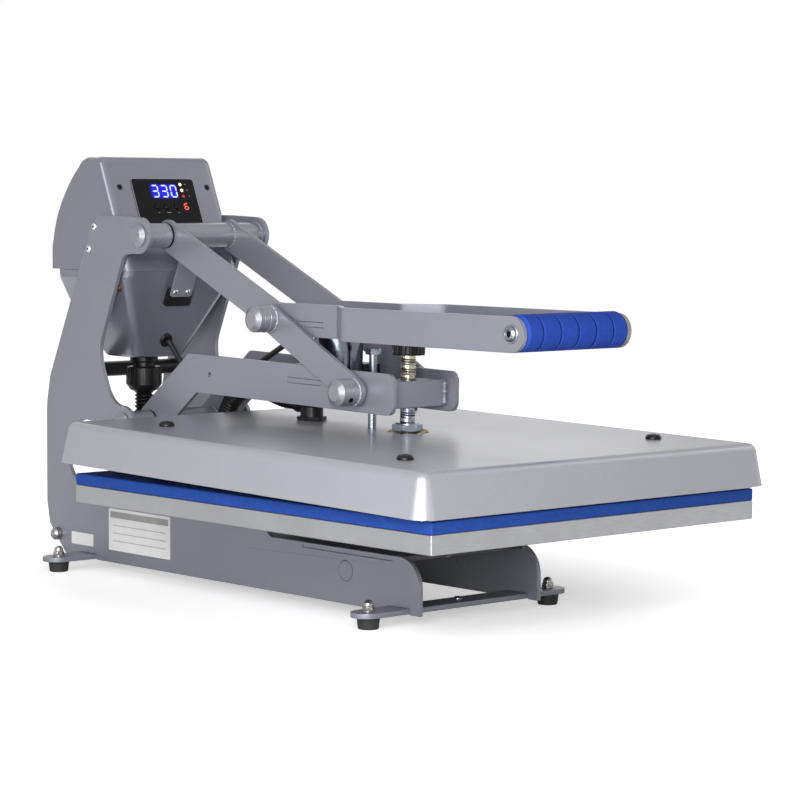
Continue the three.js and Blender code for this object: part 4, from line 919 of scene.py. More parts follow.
def make_bed():
    # The channel gets the darkened paint, painted shade in the tunnel under the platen; its tabs in the
    # side plates keep the frame's paint
    channel = of_cad("platen_support", 0.5)
    tabs = channel.copy()
    for mesh, tab in ((channel, False), (tabs, True)):
        work = bmesh.new()
        work.from_mesh(mesh)
        others = [f for f in work.faces if (abs(f.calc_center_median().x) > 70) != tab]
        bmesh.ops.delete(work, geom=others, context="FACES")
        work.to_mesh(mesh)
        work.free()
    clothe("platen_support", [(channel, channel_paint), (tabs, frame_paint)], "frame")
    outline = rectangle(-PLATEN_X, PLATEN_X, -PLATEN_Y, PLATEN_Y, 1.2)
    clothe("lower_platen", [(slab(outline, 92.1, 109.6, edge=0.9, steps=3), bare_aluminium)], "frame")
    pad = slab(rectangle(-PLATEN_X, PLATEN_X, -PLATEN_Y, PLATEN_Y, 1.6), 109.62, 120.6, edge=1.2, steps=4)
    pad = clothe("silicone_pad", [(pad, pad_blue)], "frame")
    tube = across(turned([(-72.8, 0), (-72.8, 8), (72.8, 8), (72.8, 0)]), 451, 204.3)
    clothe("rear_tie_tube", [(tube, black_paint)], "frame")
    half = [(78, 4), (78, 6.75), (82.6, 6.4), (85, 4.2), (85.7, 2), (85.7, 0)]
    rod = turned(mirrored(-1, half)[::-1] + half, 36, 0.6)
    clothe("rear_tie_bolt", [(across(rod, 464.4, 31.2), plain_steel)], "frame")
    for name, pivot in (("top", TOP_PIVOT), ("lower", LOWER_PIVOT)):
        half = [(78, 9.5), (78, 13.4), (82.6, 7.5), (82.6, 0)]
        shaft = turned(mirrored(-1, half)[::-1] + half, 48, 0.8)
        clothe(f"{name}_pivot_shaft", [(across(shaft, *pivot), pin_paint)], "frame")


make_side_plates()
make_foot_plates()
make_bed()


# Control box
# The hood's side, as shares of its depth and height above the seam
HOOD_DEPTH = 135.7
HOOD_HEIGHT = 117.4
HOOD_REAR = [(0.64, 0.913), (0.732, 0.813), (0.807, 0.706), (0.883, 0.579), (0.937, 0.456), (0.971, 0.34),
             (0.989, 0.244), (1, 0.213)]


def hood_outline():
    """The hood's side, and the radius of its edge there: broad in front and on top, sharper behind."""
    def spot(y, z):
        return FACE_FOOT[0] + y * HOOD_DEPTH, FACE_FOOT[1] + z * HOOD_HEIGHT
    curve = [(y, z) for _, y, z in smooth_path([(0, *spot(y, z)) for y, z in HOOD_REAR], 40)]
    start = spot(0.53, 1)
    brow = spot(FACE_LEAN * HOOD_HEIGHT / HOOD_DEPTH, 1)
    front = rounded([(FACE_FOOT[0] - FACE_LEAN * 16, 295, 0), (*brow, 10), (*start, 0)], False, 6)
    line = front + bend(start, spot(0.6, 1), curve[0], 10) + curve[1:] + [(481.4, 295)]
    share = [min(max((y - start[0]) / (curve[0][0] - start[0]), 0), 1) for y, _ in line]
    return line, [9 - 7.5 * t for t in share]


def crowned(loop, radii, low, high):
    """A plate whose rim has its own radius at each point of the outline."""
    steps = 8
    rings = []
    for k in range(steps + 1):
        side, rise = 1 - sin(pi / 2 * k / steps), 1 - cos(pi / 2 * k / steps)
        edge = inset(loop, [radius * side for radius in radii])
        rings.append([(*p, low + radius * rise) for p, radius in zip(edge, radii)])
    return solid([rings + [[(x, y, low + high - z) for x, y, z in ring] for ring in reversed(rings)]])


def make_hood():
    loop, radii = hood_outline()
    if spun(loop) != loop:
        loop, radii = loop[::-1], radii[::-1]
    hood = placed(crowned(loop, radii, -72.5, 72.5), UPRIGHT)
    work = bmesh.new()
    work.from_mesh(hood)
    whole = [*work.verts, *work.edges, *work.faces]
    bmesh.ops.bisect_plane(work, geom=whole, plane_co=(0, 0, FACE_FOOT[1]), plane_no=(0, 0, -1),
                           clear_outer=True)
    bmesh.ops.solidify(work, geom=work.faces[:], thickness=SHELL_WALL)
    work.to_mesh(hood)
    work.free()
    clothe("control_hood", [(hood, shell_paint)], "frame", sharp=40)
    screw = (turned([(0, 0), (0, 3.4), (0.5, 3.1), (0.5, 0)], 32, 0.2), bored(1.6, 0.3, 0.56))
    points = [(1.3 + sign * 56.8, -8.2 * math.hypot(1, FACE_LEAN), 0) for _, sign in SIDES]
    piece("hood_screws", heads(screw, points), "frame", at=PANEL)


def bin_rings(wall, bottom):
    """Rings of the lower shell, or of its inside a wall further in, down to its bottom."""
    # Height, half width, front, rear, how far the edge has turned in, and whether a groove runs there
    levels = [
        (310.7, 71.3, 346.6, 476, 0, 0), (304.4, 71.3, 349.4, 476, 0, 0), (304.3, 71.3, 349.4, 476, 0, 1),
        (303.5, 71.1, 349.8, 476, 0, 1), (303.4, 71.1, 349.8, 475.9, 0, 0), (301, 70.3, 350.9, 475.8, 0, 0),
        (285, 62.8, 357.9, 474.6, 0, 0), (276, 58.5, 361.9, 473.3, 0, 0), (268, 54.7, 365.4, 471.3, 0, 0),
        (260, 50.9, 368.9, 468, 0, 0), (248, 45.2, 374.2, 461.7, 0, 0), (222, 32.9, 385.7, 447.7, 0, 0),
        (220.4, 32.2, 386.4, 446.8, 0.5, 0), (bottom + 0.4, 31.7, 387, 446.2, 2.4, 0),
        (bottom, 31.5, 387, 446, 5, 0)]
    rings = []
    for z, half, front, rear, turned_in, groove in levels:
        d = wall + turned_in
        loop = rectangle(d - half, half - d, front + d, rear - d, max(10 - d, 2))
        cuts = [groove * 0.8 if not wall and abs(x) > half - 9.5 else 0.0 for x, _ in loop]
        rings.append([(*p, z) for p in inset(loop, cuts)])
    return rings


def make_bin():
    outer, inner = bin_rings(0, 219), bin_rings(SHELL_WALL, 219 + SHELL_WALL)
    clothe("control_bin", [(solid([inner[::-1] + outer]), shell_paint)], "frame", sharp=40)


# Segments of a lit digit: a bar between two places, as shares of the digit's width and height
SEGMENTS = {"a": (0, 1, 1, 1), "b": (1, 1, 1, 0.5), "c": (1, 0.5, 1, 0), "d": (0, 0, 1, 0),
            "e": (0, 0.5, 0, 0), "f": (0, 1, 0, 0.5), "g": (0, 0.5, 1, 0.5)}
LIT = {"3": "abcdg", "0": "abcdef", "6": "acdefg"}


def digit(value, x, y, width, height, stroke, low, high):
    bars = []
    for key in LIT[value]:
        x0, y0, x1, y1 = SEGMENTS[key]
        a, b = Vector((x + x0 * width, y + y0 * height)), Vector((x + x1 * width, y + y1 * height))
        way = (b - a).normalized()
        left = Vector((-way.y, way.x)) * stroke / 2
        a += way * stroke * 0.25
        b -= way * stroke * 0.25
        tip = way * stroke / 2
        corners = (a, a + tip + left, b - tip + left, b, b - tip - left, a + tip - left)
        bars.append(slab([tuple(p) for p in corners], low, high, edge=0.05, steps=1))
    return bars


def make_panel():
    drop = -31.4
    buttons = (-14.2, -1.7, 10.8)
    outline = rectangle(-39.9, 39.9, -58.6, 0, 3)
    window = rectangle(-18.6, 17, -21.9, -4.9, 0.6)
    holes = [window, *(circle(x, drop, 3.7, 32) for x in buttons)]
    opening = rectangle(-39.7, 39.7, -58.4, -0.2, 2.8)
    rim = slab(rectangle(-40.5, 40.5, -59.2, 0.6, 3.6), 0.31, 1.4, [opening], edge=0.2)
    parts = [(slab(outline, 0.3, 1.8, holes, edge=0.3), overlay_black), (rim, bare_aluminium)]
    rules = [(x - wide / 2, x + wide / 2, -38.2, -37.6)
             for x, wide in ((-14.2, 1.6), (-1.2, 5), (11.6, 1.6))]
    rules += [(x, x + 2, y - 0.25, y + 0.25) for x, y in ((27.5, -6.1), (28.5, -12.6), (29.5, -19.3))]
    parts += [(slab(rectangle(*rule), 1.7, 1.84, edge=0.02), label_grey) for rule in rules]
    clothe("control_panel", parts, "frame", PANEL)
    glow = slab(rectangle(-18.2, 16.6, -21.5, -5.3, 0.5), 0.6, 1.35, edge=0.2)
    board = slab(rectangle(-35.9, 35.9, -54.6, -4), -9.6, -8, edge=0.2)
    clothe("circuit_board", [(board, board_green), (glow, display_glow)], "frame", PANEL)
    lit = []
    for value, x in (("3", -15.6), ("3", -3.7), ("0", 8.2)):
        lit += [(bar, digit_blue) for bar in digit(value, x, -20.1, 7.1, 12.6, 1.5, 1.3, 1.5)]
    piece("display_digits", lit, "frame", at=PANEL)
    lamps = []
    for x, y, material in ((21.9, -6.4, lamp_amber), (22.3, -13, lamp_amber), (22.6, -19.6, lamp_red)):
        lens = turned([(1.7, 0), (1.7, 1.9), (2.1, 1.6), (2.2, 0)], 24, 0.2)
        lamps.append((placed(lens, shift(x, y)), material))
    lamps += [(bar, digit_red) for bar in digit("6", 20.9, -34.4, 4.4, 6.4, 1.3, 1.75, 1.95)]
    piece("panel_lamps", lamps, "frame", at=PANEL)
    for i, x in enumerate(buttons):
        cap = turned([(-4.8, 0), (-4.8, 3.4), (2.4, 3.4), (3.1, 2.5), (3.2, 0)], 40, 0.5)
        clothe(f"button_{i + 1}", [(placed(cap, shift(x, drop)), overlay_black)], f"button_{i + 1}",
               PANEL)


def make_box_fittings():
    inlet = [(of_cad("power_inlet", 0.5), black_plastic)]
    for x, z in ((-31, 329), (-17, 329), (-24, 323)):
        inlet.append((block(x - 1, x + 1, 466, 479, z - 2, z + 2, 0.3), nickel))
    clothe("power_inlet", inlet, "frame")
    body = slab(rectangle(-17, 15, 62, 82, 1.2), 0.3, 5.3, edge=0.6)
    clothe("handle_switch", [(body, black_plastic)], "frame", BIN_FRONT)
    plate = slab(rectangle(-15.9, 11.5, 74, 120, 3), 5.6, 7.9, edge=0.4)
    screw = (turned([(0, 0), (0, 3.1), (0.9, 3), (1.7, 2), (1.9, 0)], 32, 0.4), bored(0.9, 0.6, 1.96))
    points = [(-11, 79.6, 7.9), (5, 79.8, 7.9)]
    parts = [(plate, frame_paint), *heads(screw, points, metal=chrome)]
    clothe("switch_bracket", parts, "frame", BIN_FRONT)
    nut = [(181.3, 0), (181.3, 10.2), (183.6, 15), (188.6, 18.2), (206.4, 18.2), (208, 17.2), (208, 12),
           (213.2, 12), (213.2, 14.8), (218.5, 14.8), (218.5, 9.7), (226, 9.7), (226, 0)]
    outline = rounded([(0, -1.4, 0.5), (0.9, -1.1, 0.5), (0.9, 1.1, 0.5), (0, 1.4, 0.5)])
    rib = placed(slab(outline, 0, 16.5, edge=0.4), shift(0, 0, 189))
    ribs = repeated(copies_in_a_circle, rib, path_mesh([(0, 0, 0)]), count=20, radius=18.0,
                    finish=black_plastic)
    parts = [(placed(m, shift(0, 417)), black_plastic) for m in (turned(nut, 60, 0.9), ribs)]
    clothe("box_gland", parts, "frame")
    earth = (368.8, 293.4)
    ring = across(pipe(3.7, 1.9, -70.4, -66.4, 32), *earth)
    screw = across(turned([(-69.4, 0), (-69.4, 2), (-66.4, 2), (-66.4, 0)], 24), *earth)
    piece("earth_screw", [(ring, copper), (screw, zinc_steel)], "frame")
    grommet = turned([(-4.8, 0), (-4.8, 5), (0.3, 5), (0.3, 7.8), (1.8, 7.7), (3, 6.2), (3, 0)], 40, 0.8)
    clothe("cable_grommet", [(placed(grommet, shift(0, 20.7)), black_plastic)], "frame",
           BIN_FRONT)
    screw = (turned([(0, 0), (0, 3.9), (1.1, 3.7), (2.2, 2.4), (2.4, 0)], 32, 0.5), bored(1.2, 0.6, 2.46))
    for side, sign in SIDES:
        points = [(sign * FRAME_X, 397.1, 356.3), (sign * FRAME_X, 406.8, 333.2)]
        piece(f"upright_screws_{side}", heads(screw, points, (0, sign * pi / 2, 0), chrome), "frame")


# The hose and the magnet's cable lie along the routes of the drawing
HOSE = [(0, 417, 181), (0, 417, 171), (0, 416.5, 160), (2, 405, 130), (4, 374, 109), (5, 337, 108),
        (5, 308, 124), (4, 288, 153), (3, 266, 184), (2, 234, 199), (1, 205, 193), (0, 181, 188.3),
        (0, 171, 188), (0, 160.1, 188)]
CABLE = [(0, 375, 236.1), (0, 369.4, 233.3), (-2, 354, 220), (-5, 330, 204), (-7, 282, 201),
         (-8, 240, 210), (-7, 206, 226), (-5, 180, 240), (-3, 158, 251), (-1, 142, 256.5), (0, 132, 257.5),
         (0, 125.4, 257.5)]


def length_of(path):
    return sum((Vector(b) - Vector(a)).length for a, b in zip(path, path[1:]))


def cord(node, route, count, slot, material, width, **ribs):
    """A cord along its route."""
    path = smooth_path(route, count)
    skin = grown(ribbed_hose, path_mesh(path), radius=width / 2, finish=material, **ribs)
    made = clothe(node, [(skin, material)], None, sharp=60)
    line = [DRAWING @ Vector(point) for point in path]
    length_of(path) / 1000
    return made, line


def make_hoses():
    hose, _ = cord("conduit", HOSE, 300, "conduit_plastic", black_plastic, 20.0,
                   rib_depth=2.2, rib_pitch=3.9, steps_in_a_rib=8)
    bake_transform(hose)
    cable, line = cord("magnet_cable", CABLE, 160, "cable_sheath", cable_sheath, 5.8,
                       rib_depth=0.0, rib_pitch=8.0, steps_in_a_rib=4)
    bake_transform(cable)


make_hood()
make_bin()
make_panel()
make_box_fittings()
make_hoses()


# Handle
def joggled(mesh, sign):
    """Bends a flat bar outward ahead of the toggle pin, round two bends."""
    work = bmesh.new()
    work.from_mesh(mesh)
    for y in range(-4, 71, 2):
        bmesh.ops.bisect_plane(work, geom=[*work.verts, *work.edges, *work.faces], plane_co=(0, y, 0),
                               plane_no=(0, 1, 0))
    inner, outer = 39.6, 66.0
    line = rounded([(inner, 400, 0), (inner, 53.2, 8.4), (outer, 17.5, 16), (outer, -300, 0)], False, 5)
    for vert in work.verts:
        offset = vert.co.x * sign
        y = vert.co.y
        for (xa, ya), (xb, yb) in zip(line, line[1:]):
            if yb <= y <= ya:
                share = (ya - y) / (ya - yb)
                way = Vector((xb - xa, yb - ya)).normalized()
                vert.co.x = sign * (xa + (xb - xa) * share - way.y * offset)
                vert.co.y = y + way.x * offset
                break
    work.to_mesh(mesh)
    work.free()
    return mesh


def make_handle():
    outline = band([TOP_PIVOT, TOGGLE, (-208, TOGGLE[1])], 15.9, 43.8, 12, 15.9, 15.9)
    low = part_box("striker_plate")[0].z * 1000
    slot = rectangle(73.4, 112.9, low - 0.3, low + PLATE + 0.3)
    for side, sign in SIDES:
        bar = joggled(upright(outline, -PLATE / 2, PLATE / 2, holes=[slot]), sign)
        parts = [(bar, frame_paint), (ring_bead(sign * 37, *TOP_PIVOT, HUB, 1.4, 20, 330), frame_paint)]
        clothe(f"handle_plate_{side}", parts, "handle")
        pin = [(34.9, 0), (34.9, 11), (36.9, 11), (36.9, 8), (64.5, 8), (64.5, HUB), (69, HUB), (72.2, 7.5),
               (72.2, 0)]
        clothe(f"toggle_pin_{side}", [(across(turned(mirrored(sign, pin), 48, 0.7), *TOGGLE), pin_paint)],
               "handle")
        seat = shift(sign * 68.4, *GRIP) @ Matrix.Rotation(sign * pi / 2, 4, "Y")
        rim = turned([(0, 0), (0, 8.7), (0.9, 8.7), (1.2, 8.3), (1.2, 0)], 40, 0.2)
        head = turned([(1, 0), (1, 7.2), (2.6, 6.9), (4.3, 5.2), (4.6, 3.6), (3.2, 3.3), (3.2, 0)], 40, 0.5)
        socket = bored(3, 0.8, 3.4)
        shank = turned([(-24, 0), (-24, 4), (0, 4), (0, 0)], 24)
        parts = [(rim, plain_steel), (head, bolt_steel), (socket, dark_hole), (shank, plain_steel)]
        parts = [(placed(m, seat), metal) for m, metal in parts]
        clothe(f"grip_screw_{side}", parts, "handle")
    hub = across(pipe(HUB, SHAFT_BORE, -36.9, 36.9), *TOP_PIVOT)
    clothe("handle_hub", [(hub, pin_paint)], "handle")
    end = 63.3
    tube = across(pipe(11, 4.3, -end, end), *GRIP)
    clothe("grip_tube", [(tube, plain_steel)], "handle")
    profile = [(-end, 11.3), (-end, 13.6), (3 - end, 16.75)]
    for k in range(-2, 3):
        profile += [(SLIT_PITCH * k + along, radius) for along, radius in
                    ((-1.5, 16.75), (-0.6, 15.9), (-0.35, 14), (0.35, 14), (0.6, 15.9), (1.5, 16.75))]
    profile += [(end - 3, 16.75), (end, 13.6), (end, 11.3)]
    foam = across(turned(profile, 64, 0.5), *GRIP)
    foam = clothe("foam_grip", [(foam, grip_blue)], "handle", sharp=60)
    striker = block(-42, 42, 73.7, 112.6, low, low + PLATE, 0.3)
    seams = [bead([(sign * 37, 76, low + PLATE), (sign * 37, 110, low + PLATE)], 1.2, seed=3)
             for _, sign in SIDES]
    clothe("striker_plate", [(m, frame_paint) for m in (striker, *seams)], "handle")


def make_links():
    for side, sign in SIDES:
        line = band([TOGGLE, ARM_PIN], 14, 0, 0, 14, 14)
        plate = upright(line, sign * 44.2, sign * 49)
        upper = across(pipe(HUB, 8.3, *sorted((sign * 42.3, sign * 64.2))), *TOGGLE)
        lower = [(44.2, 0), (44.2, HUB), (69, HUB), (72.2, 7.5), (72.2, 0)]
        lower = across(turned(mirrored(sign, lower), 48, 0.7), *ARM_PIN)
        step = across(pipe(HUB + 0.5, HUB - 1, *sorted((sign * 49, sign * 57))), *TOGGLE)
        parts = [(plate, frame_paint)] + [(m, pin_paint) for m in (upper, lower, step)]
        for spot, seed in ((TOGGLE, 4), (ARM_PIN, 5)):
            parts.append((ring_bead(sign * 49.4, *spot, HUB + 0.2, 1.7, 100, 260, seed), pin_paint))
        # The set screw's hole as a thin black disc on the boss: painted shade
        hole = placed(turned([(11.8, 0), (11.8, 2.6), (12.9, 2.6), (12.9, 0)], 24, 0.05),
                      shift(sign * 60, *ARM_PIN) @ Matrix.Rotation(radians(121), 4, "X"))
        parts.append((hole, dark_hole))
        clothe(f"toggle_link_{side}", parts, "links")


# Arms, drawn from the lower pivot before the closing tilt: where a plate lies across, its level part, and
# the half width of what lies between the two plates
ARM_X = (37.4, 42.2)
ARM_BOW = 56.3
BETWEEN_ARMS = 37.1


def arm_pin_place():
    y, z = ARM_PIN[0] - LOWER_PIVOT[0], ARM_PIN[1] - LOWER_PIVOT[1]
    return y * cos(CLOSING_TILT) + z * sin(CLOSING_TILT), z * cos(CLOSING_TILT) - y * sin(CLOSING_TILT)


def make_arms():
    outline = band([(0, 0), (-70.3, ARM_BOW), (-375, ARM_BOW)], 19.4, 4.5, 6, 19.4, 9.5)
    slot = rectangle(-270.8, -221.2, 57.6, 63)
    for side, sign in SIDES:
        inner, outer = [sign * x for x in ARM_X]
        plate = upright(outline, inner, outer, holes=[slot, circle(-98.6, ARM_BOW, 2.5, 24)], edge=0.4)
        parts = [(plate, frame_paint), (ring_bead(sign * 37.2, 0, 0, HUB, 1.4, seed=6), frame_paint)]
        clothe(f"platen_arm_{side}", parts, "arms", UPPER)
    hub = across(pipe(HUB, SHAFT_BORE, -BETWEEN_ARMS, BETWEEN_ARMS), 0, 0)
    clothe("arm_hub", [(hub, frame_paint)], "arms", UPPER)
    low, high = 42.1, 67.5
    front, rear = SCREW_Y - 12.7, SCREW_Y + 12.7
    outline = rectangle(-BETWEEN_ARMS, BETWEEN_ARMS, front, rear, 0.5, 30)
    bar = slab(outline, low, high, [circle(0, SCREW_Y, 8.25)], edge=1)
    seams = []
    for _, sign in SIDES:
        for y in (front, rear):
            seams.append(bead([(sign * 35.4, y, low + 4), (sign * 35.4, y, high - 4)], 3, seed=7))
    parts = [(m, frame_paint) for m in (bar, *seams)]
    clothe("cross_bar", parts, "arms", UPPER)
    shaft = across(turned([(-43.9, 0), (-43.9, PIN), (43.9, PIN), (43.9, 0)]), *arm_pin_place())
    clothe("arm_cross_shaft", [(shaft, plain_steel)], "arms", UPPER)
    low, seat, rear = 57.9, 62.7, -221.5
    outline = rectangle(-BETWEEN_ARMS, BETWEEN_ARMS, -315, rear, 0.5, 30)
    plate = slab(outline, low, seat, [circle(0, GUIDE_Y, 4.3, 32)], edge=0.4)
    tabs = [block(*sorted((sign * 36, sign * ARM_X[1])), -270.5, rear, low, seat, 0.3)
            for _, sign in SIDES]
    mouth = math.degrees(math.asin(19.3 / 24.3))
    cut = arc(0, MAGNET_Y, 24.3, 180 + mouth, -mouth, 5)
    front, rear, corner = -266.8, -224.5, 3
    holder = [(-BETWEEN_ARMS, front), *cut, (BETWEEN_ARMS, front), (BETWEEN_ARMS, rear),
              *arc(BETWEEN_ARMS - corner, rear, corner, 0, 90),
              *arc(corner - BETWEEN_ARMS, rear, corner, 90, 180)]
    shell = slab(holder, seat + 0.05, seat + 13.4, edge=0.6)
    parts = [(m, frame_paint) for m in (plate, *tabs)] + [(shell, black_plastic)]
    clothe("magnet_bracket", parts, "arms", UPPER)
    low, high = 63, 112.2
    can = turned([(low, 0), (low, 24), (high, 24), (high, 18.4), (high - 0.5, 18.2), (high - 0.5, 8.4),
                  (high, 8.2), (high, 0)], 64, 0.5)
    ring = pipe(18.2, 8.4, high - 2, high - 0.35, 64, 0.1)
    spot = shift(0, MAGNET_Y)
    clothe("magnet", [(placed(can, spot), dark_chrome), (placed(ring, spot), black_plastic)], "arms",
           UPPER)


# Heat platen and its cover
def cover_rings(wall):
    """Rings of the pressed cover, or of its inside a wall further in, from rim to top."""
    radius = 9 - wall
    turns = [pi / 2 * k / 8 for k in range(9)]
    levels = [(wall, -21.6)] + [(15 - radius * cos(turn), 8.6 + radius * sin(turn)) for turn in turns]
    return [[(*p, z) for p in rectangle(d - 219.5, 219.5 - d, d - 610, -85 - d, max(16.4 - d, 1.2), 7.5)]
            for d, z in levels]


def make_cover():
    inner, outer = cover_rings(SHELL_WALL), cover_rings(0)
    holes = []
    for loop in (rectangle(-15, 15, SCREW_Y - 15, SCREW_Y + 15, 0.8, 30), circle(0, GUIDE_Y, 4.3, 32)):
        loop = spun(loop, True)
        holes.append([[(*p, z) for p in loop] for z in (15.2, COVER_TOP)])
    shell = solid([inner[::-1] + outer, *holes])
    clothe("platen_cover", [(shell, cover_paint)], "platen", UPPER, sharp=40)
    head = button_head(7.6, 4.4, 3.1)
    points = [(x, y - 350, COVER_TOP) for x in (-157, 157) for y in (-170, 170)]
    piece("cover_screws", heads(head, points), "platen", at=UPPER)
    outline = rectangle(-PLATEN_X, PLATEN_X, -350 - PLATEN_Y, PLATEN_Y - 350, 1.2)
    plate = slab(outline, -23.3, -7.3, edge=0.7)
    boss = turned([(-8, 0), (-8, 20), (5, 20), (5, 8.25), (-4, 8.25), (-4, 0)])
    parts = [(plate, bare_aluminium), (placed(boss, shift(0, SCREW_Y)), bare_aluminium)]
    clothe("heat_platen", parts, "platen", UPPER)


def tuft():
    """The blanket's torn rim, pushed up through the cover's window round the screw's collar."""
    rings = []
    levels = [(8.4, 15.2), (11, 16.6), (14.6, 17.8), (16.8, 18.4), (18.4, 18.2), (19.6, 17.2), (20, 16)]
    for k, (radius, z) in enumerate(levels):
        ring = []
        for i in range(96):
            angle = 2 * pi * i / 96
            torn = 0.06 * sin(5 * angle + 0.8 * k) + 0.035 * sin(13 * angle + 2 * k)
            torn += 0.02 * sin(31 * angle + 3 * k)
            lift = 1.3 * cos(angle - 0.2) + 0.3 * sin(3 * angle + 2.1)
            lift += 0.4 * sin(9 * angle + k) + 0.25 * sin(23 * angle + 2 * k)
            reach = radius * (1 + torn)
            ring.append((reach * cos(angle), reach * sin(angle), z + lift * (1 < k < 5)))
        rings.append(ring)
    return placed(solid([rings[::-1]]), shift(0, SCREW_Y))


def make_platen_fittings():
    for node, material in (("heating_element", plain_steel), ("insulation_blanket", felt)):
        cad_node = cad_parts[node]
        cad_node.data.materials.clear()
        cad_node.data.materials.append(material)
    piece("blanket_rim", [(tuft(), felt)], "platen", at=UPPER)
    shank = turned([(-7, 0), (-7, 4), (88.4, 4), (88.4, 0)], 36)
    head = hexed(7.7, [(88.3, 7.2), (88.8, 7.7), (93.6, 7.7), (94.3, 6.9)], 72)
    socket = bored(3.1, 0.8, 94.36)
    spot = shift(0, GUIDE_Y)
    parts = [(placed(m, spot), metal)
             for m, metal in ((shank, bolt_steel), (head, bolt_steel), (socket, dark_hole))]
    clothe("guide_bolt", parts, "platen", UPPER)
    low = 17.9
    flange = hexed(15, [(low, 14.4), (low + 0.6, 15), (low + 3, 15), (low + 3.5, 14.2)])
    stem = turned([(low, 0), (low, 11.2), (36, 11.2), (36, 0)], 48)
    elbow = 36.3
    knuckle = bpy.data.meshes.new("knuckle")
    work = bmesh.new()
    bmesh.ops.create_uvsphere(work, u_segments=32, v_segments=20, radius=12.5)
    work.to_mesh(knuckle)
    work.free()
    knuckle.transform(shift(0, 0, elbow))
    port = placed(turned([(0, 0), (0, 12.2), (9, 12.2), (9, 12.5), (19, 12.5), (19, 10.2), (19, 0)], 48),
                  shift(0, 0, elbow) @ Matrix.Rotation(-pi / 2, 4, "X"))
    spot = shift(0, -208.7)
    parts = [(placed(m, spot), black_plastic) for m in (flange, stem, knuckle, port)]
    clothe("cover_gland", parts, "platen", UPPER)


def make_screw():
    spot = shift(0, SCREW_Y)
    core = turned([(-3.7, 0), (-3.7, 6.7), (103.5, 6.7), (103.5, 0)], 40)
    ridge = grown(screw_thread, path_mesh([(0, 0, 0)]), radius=6.4, pitch=2.3, length=77.0, depth=1.15,
                  finish=screw_zinc)
    ridge.transform(shift(0, 0, 15))
    low = 19.6
    collar = hexed(15, [(low, 13.9), (low + 0.7, 15), (low + 5.3, 15), (low + 6.2, 13.8)])
    washer = turned([(low + 5.8, 0), (low + 5.8, 11.6), (low + 7.2, 11.2), (low + 7.2, 0)], 48)
    parts = [(placed(m, spot), screw_zinc) for m in (core, ridge, collar, washer)]
    clothe("pressure_screw", parts, "screw", UPPER, sharp=40)
    low, high = 91.1, 113.1
    outline = rounded([(-3, -2.6, 0), (1.6, -2.2, 1.4), (1.6, 2.2, 1.4), (-3, 2.6, 0)])
    lobe = placed(slab(outline, 0, high - low, edge=1.4, steps=3), shift(0, 0, low))
    lobes = repeated(copies_in_a_circle, lobe, path_mesh([(0, 0, 0)]), count=12, radius=14.3,
                     finish=knob_black)
    body = turned([(low, 0), (low, 12.6), (low + 1.6, 14.6), (high - 1.6, 14.6), (high, 12.6), (high, 0)],
                  60, 0.8)
    parts = [(placed(m, spot), knob_black) for m in (body, lobes)]
    clothe("pressure_knob", parts, "screw", UPPER)


make_handle()
make_links()
make_arms()
make_cover()
make_platen_fittings()
make_screw()


# Bare labels on the left side plate
def make_labels():
    x = -FRAME_X
    rating = upright(rectangle(269, 373.6, 23.2, 66.6, 1.5), x - 0.12, x + 0.2, edge=0.05)
    small = upright(rectangle(401, 440, 23.3, 36, 1), x - 0.12, x + 0.2, edge=0.05)
    rules = [upright(rectangle(276, 366, z, z + 0.7), x - 0.16, x, edge=0.02) for z in (33, 41, 49)]
    bar = upright(rectangle(272, 370.6, 57, 63.6), x - 0.16, x, edge=0.02)
    parts = [(rating, label_white), (small, label_white)] + [(m, label_grey) for m in (bar, *rules)]
    piece("plain_labels", parts, "frame")


make_labels()


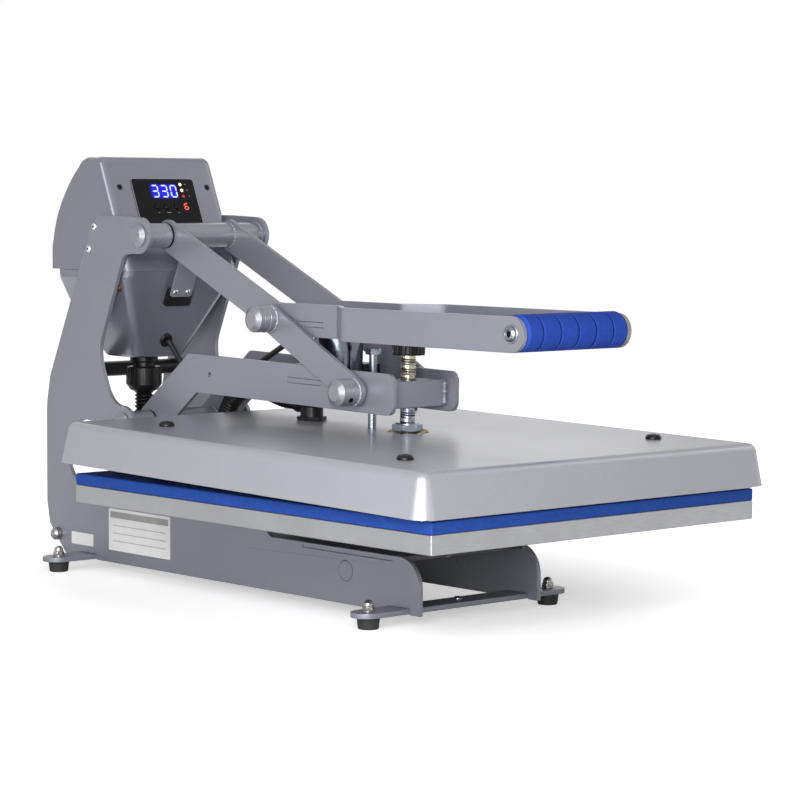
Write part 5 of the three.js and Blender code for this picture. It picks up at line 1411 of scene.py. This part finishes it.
# Floor, light and background
def make_studio():
    world = bpy.data.worlds.new("studio")
    bpy.context.scene.world = world
    world.use_nodes = True
    m = Maker(world.node_tree)
    world.node_tree.nodes.clear()
    rays = m.add("ShaderNodeLightPath")
    seen = rays.also("Is Camera Ray") + rays.also("Is Transmission Ray")
    strength = 0.06 + seen * 0.94 + rays.also("Is Glossy Ray") * 0.7
    light = m.add("ShaderNodeBackground", values={"Color": (1, 1, 1, 1), "Strength": strength})
    m.add("ShaderNodeOutputWorld", values={"Surface": light})
    floor_mesh = bpy.data.meshes.new("floor")
    floor_mesh.from_pydata([(-30, -30, 0), (30, -30, 0), (30, 30, 0), (-30, 30, 0)], [], [(0, 1, 2, 3)])
    floor = bpy.data.objects.new("floor", floor_mesh)
    bpy.context.scene.collection.objects.link(floor)
    material = bpy.data.materials.new("floor_white")
    material.use_nodes = True
    tree = material.node_tree
    tree.nodes.clear()
    m = Maker(tree)
    rays = m.add("ShaderNodeLightPath")
    seen = rays.also("Is Camera Ray") + rays.also("Is Transmission Ray")
    # The glow of the floor grows with the distance from the press: nearer it the glow is lower, a painted
    # shade round the press where its shadow falls, and the floor seen in reflections is painted dimmer
    # there too
    reach = m.add("ShaderNodeVectorMath", {"operation": "LENGTH"}, {0: m.place((3.2, 2.3, 1))}, out="Value")
    matt = m.add("ShaderNodeBsdfDiffuse", values={"Color": (0.8, 0.8, 0.8, 1)})
    shown = seen * m.range(reach, 0.7, 1.5, 0.5, 1)
    mirrored_glow = rays.also("Is Glossy Ray") * m.range(reach, 0.75, 1.6, 0.03, 0.85)
    glow = m.add("ShaderNodeEmission", values={"Color": (1, 1, 1, 1), "Strength": shown + mirrored_glow})
    both = m.add("ShaderNodeAddShader", values={0: matt, 1: glow})
    m.add("ShaderNodeOutputMaterial", values={"Surface": both})
    floor_mesh.materials.append(material)
    for name, place, size, power in (
        ("left_strip", (-2.4, -0.4, 1.2), (0.7, 2.0), 17),
        ("left_softbox", (-1.3, -1.3, 0.65), (0.6, 0.9), 35),
        ("low_softbox", (-1.7, -0.75, 0.2), (1.5, 0.3), 7),
        ("front_softbox", (0.3, -2.7, 0.45), (1.8, 0.8), 2.5),
        ("right_softbox", (2.3, -0.9, 1.2), (0.8, 2.0), 7),
        ("rear_softbox", (1.8, 2.6, 1.4), (2.2, 1.6), 7),
        ("top_softbox", (0.2, -0.3, 2.4), (2.4, 2.0), 4),
    ):
        data = bpy.data.lights.new(name, "AREA")
        data.shape = "RECTANGLE"
        data.size, data.size_y = size
        data.energy = power
        lamp = bpy.data.objects.new(name, data)
        lamp.location = place
        lamp.rotation_euler = (Vector((0, 0, 0.15)) - Vector(place)).to_track_quat("-Z", "Y").to_euler()
        bpy.context.scene.collection.objects.link(lamp)
    bpy.context.scene.view_settings.view_transform = "Standard"


make_studio()
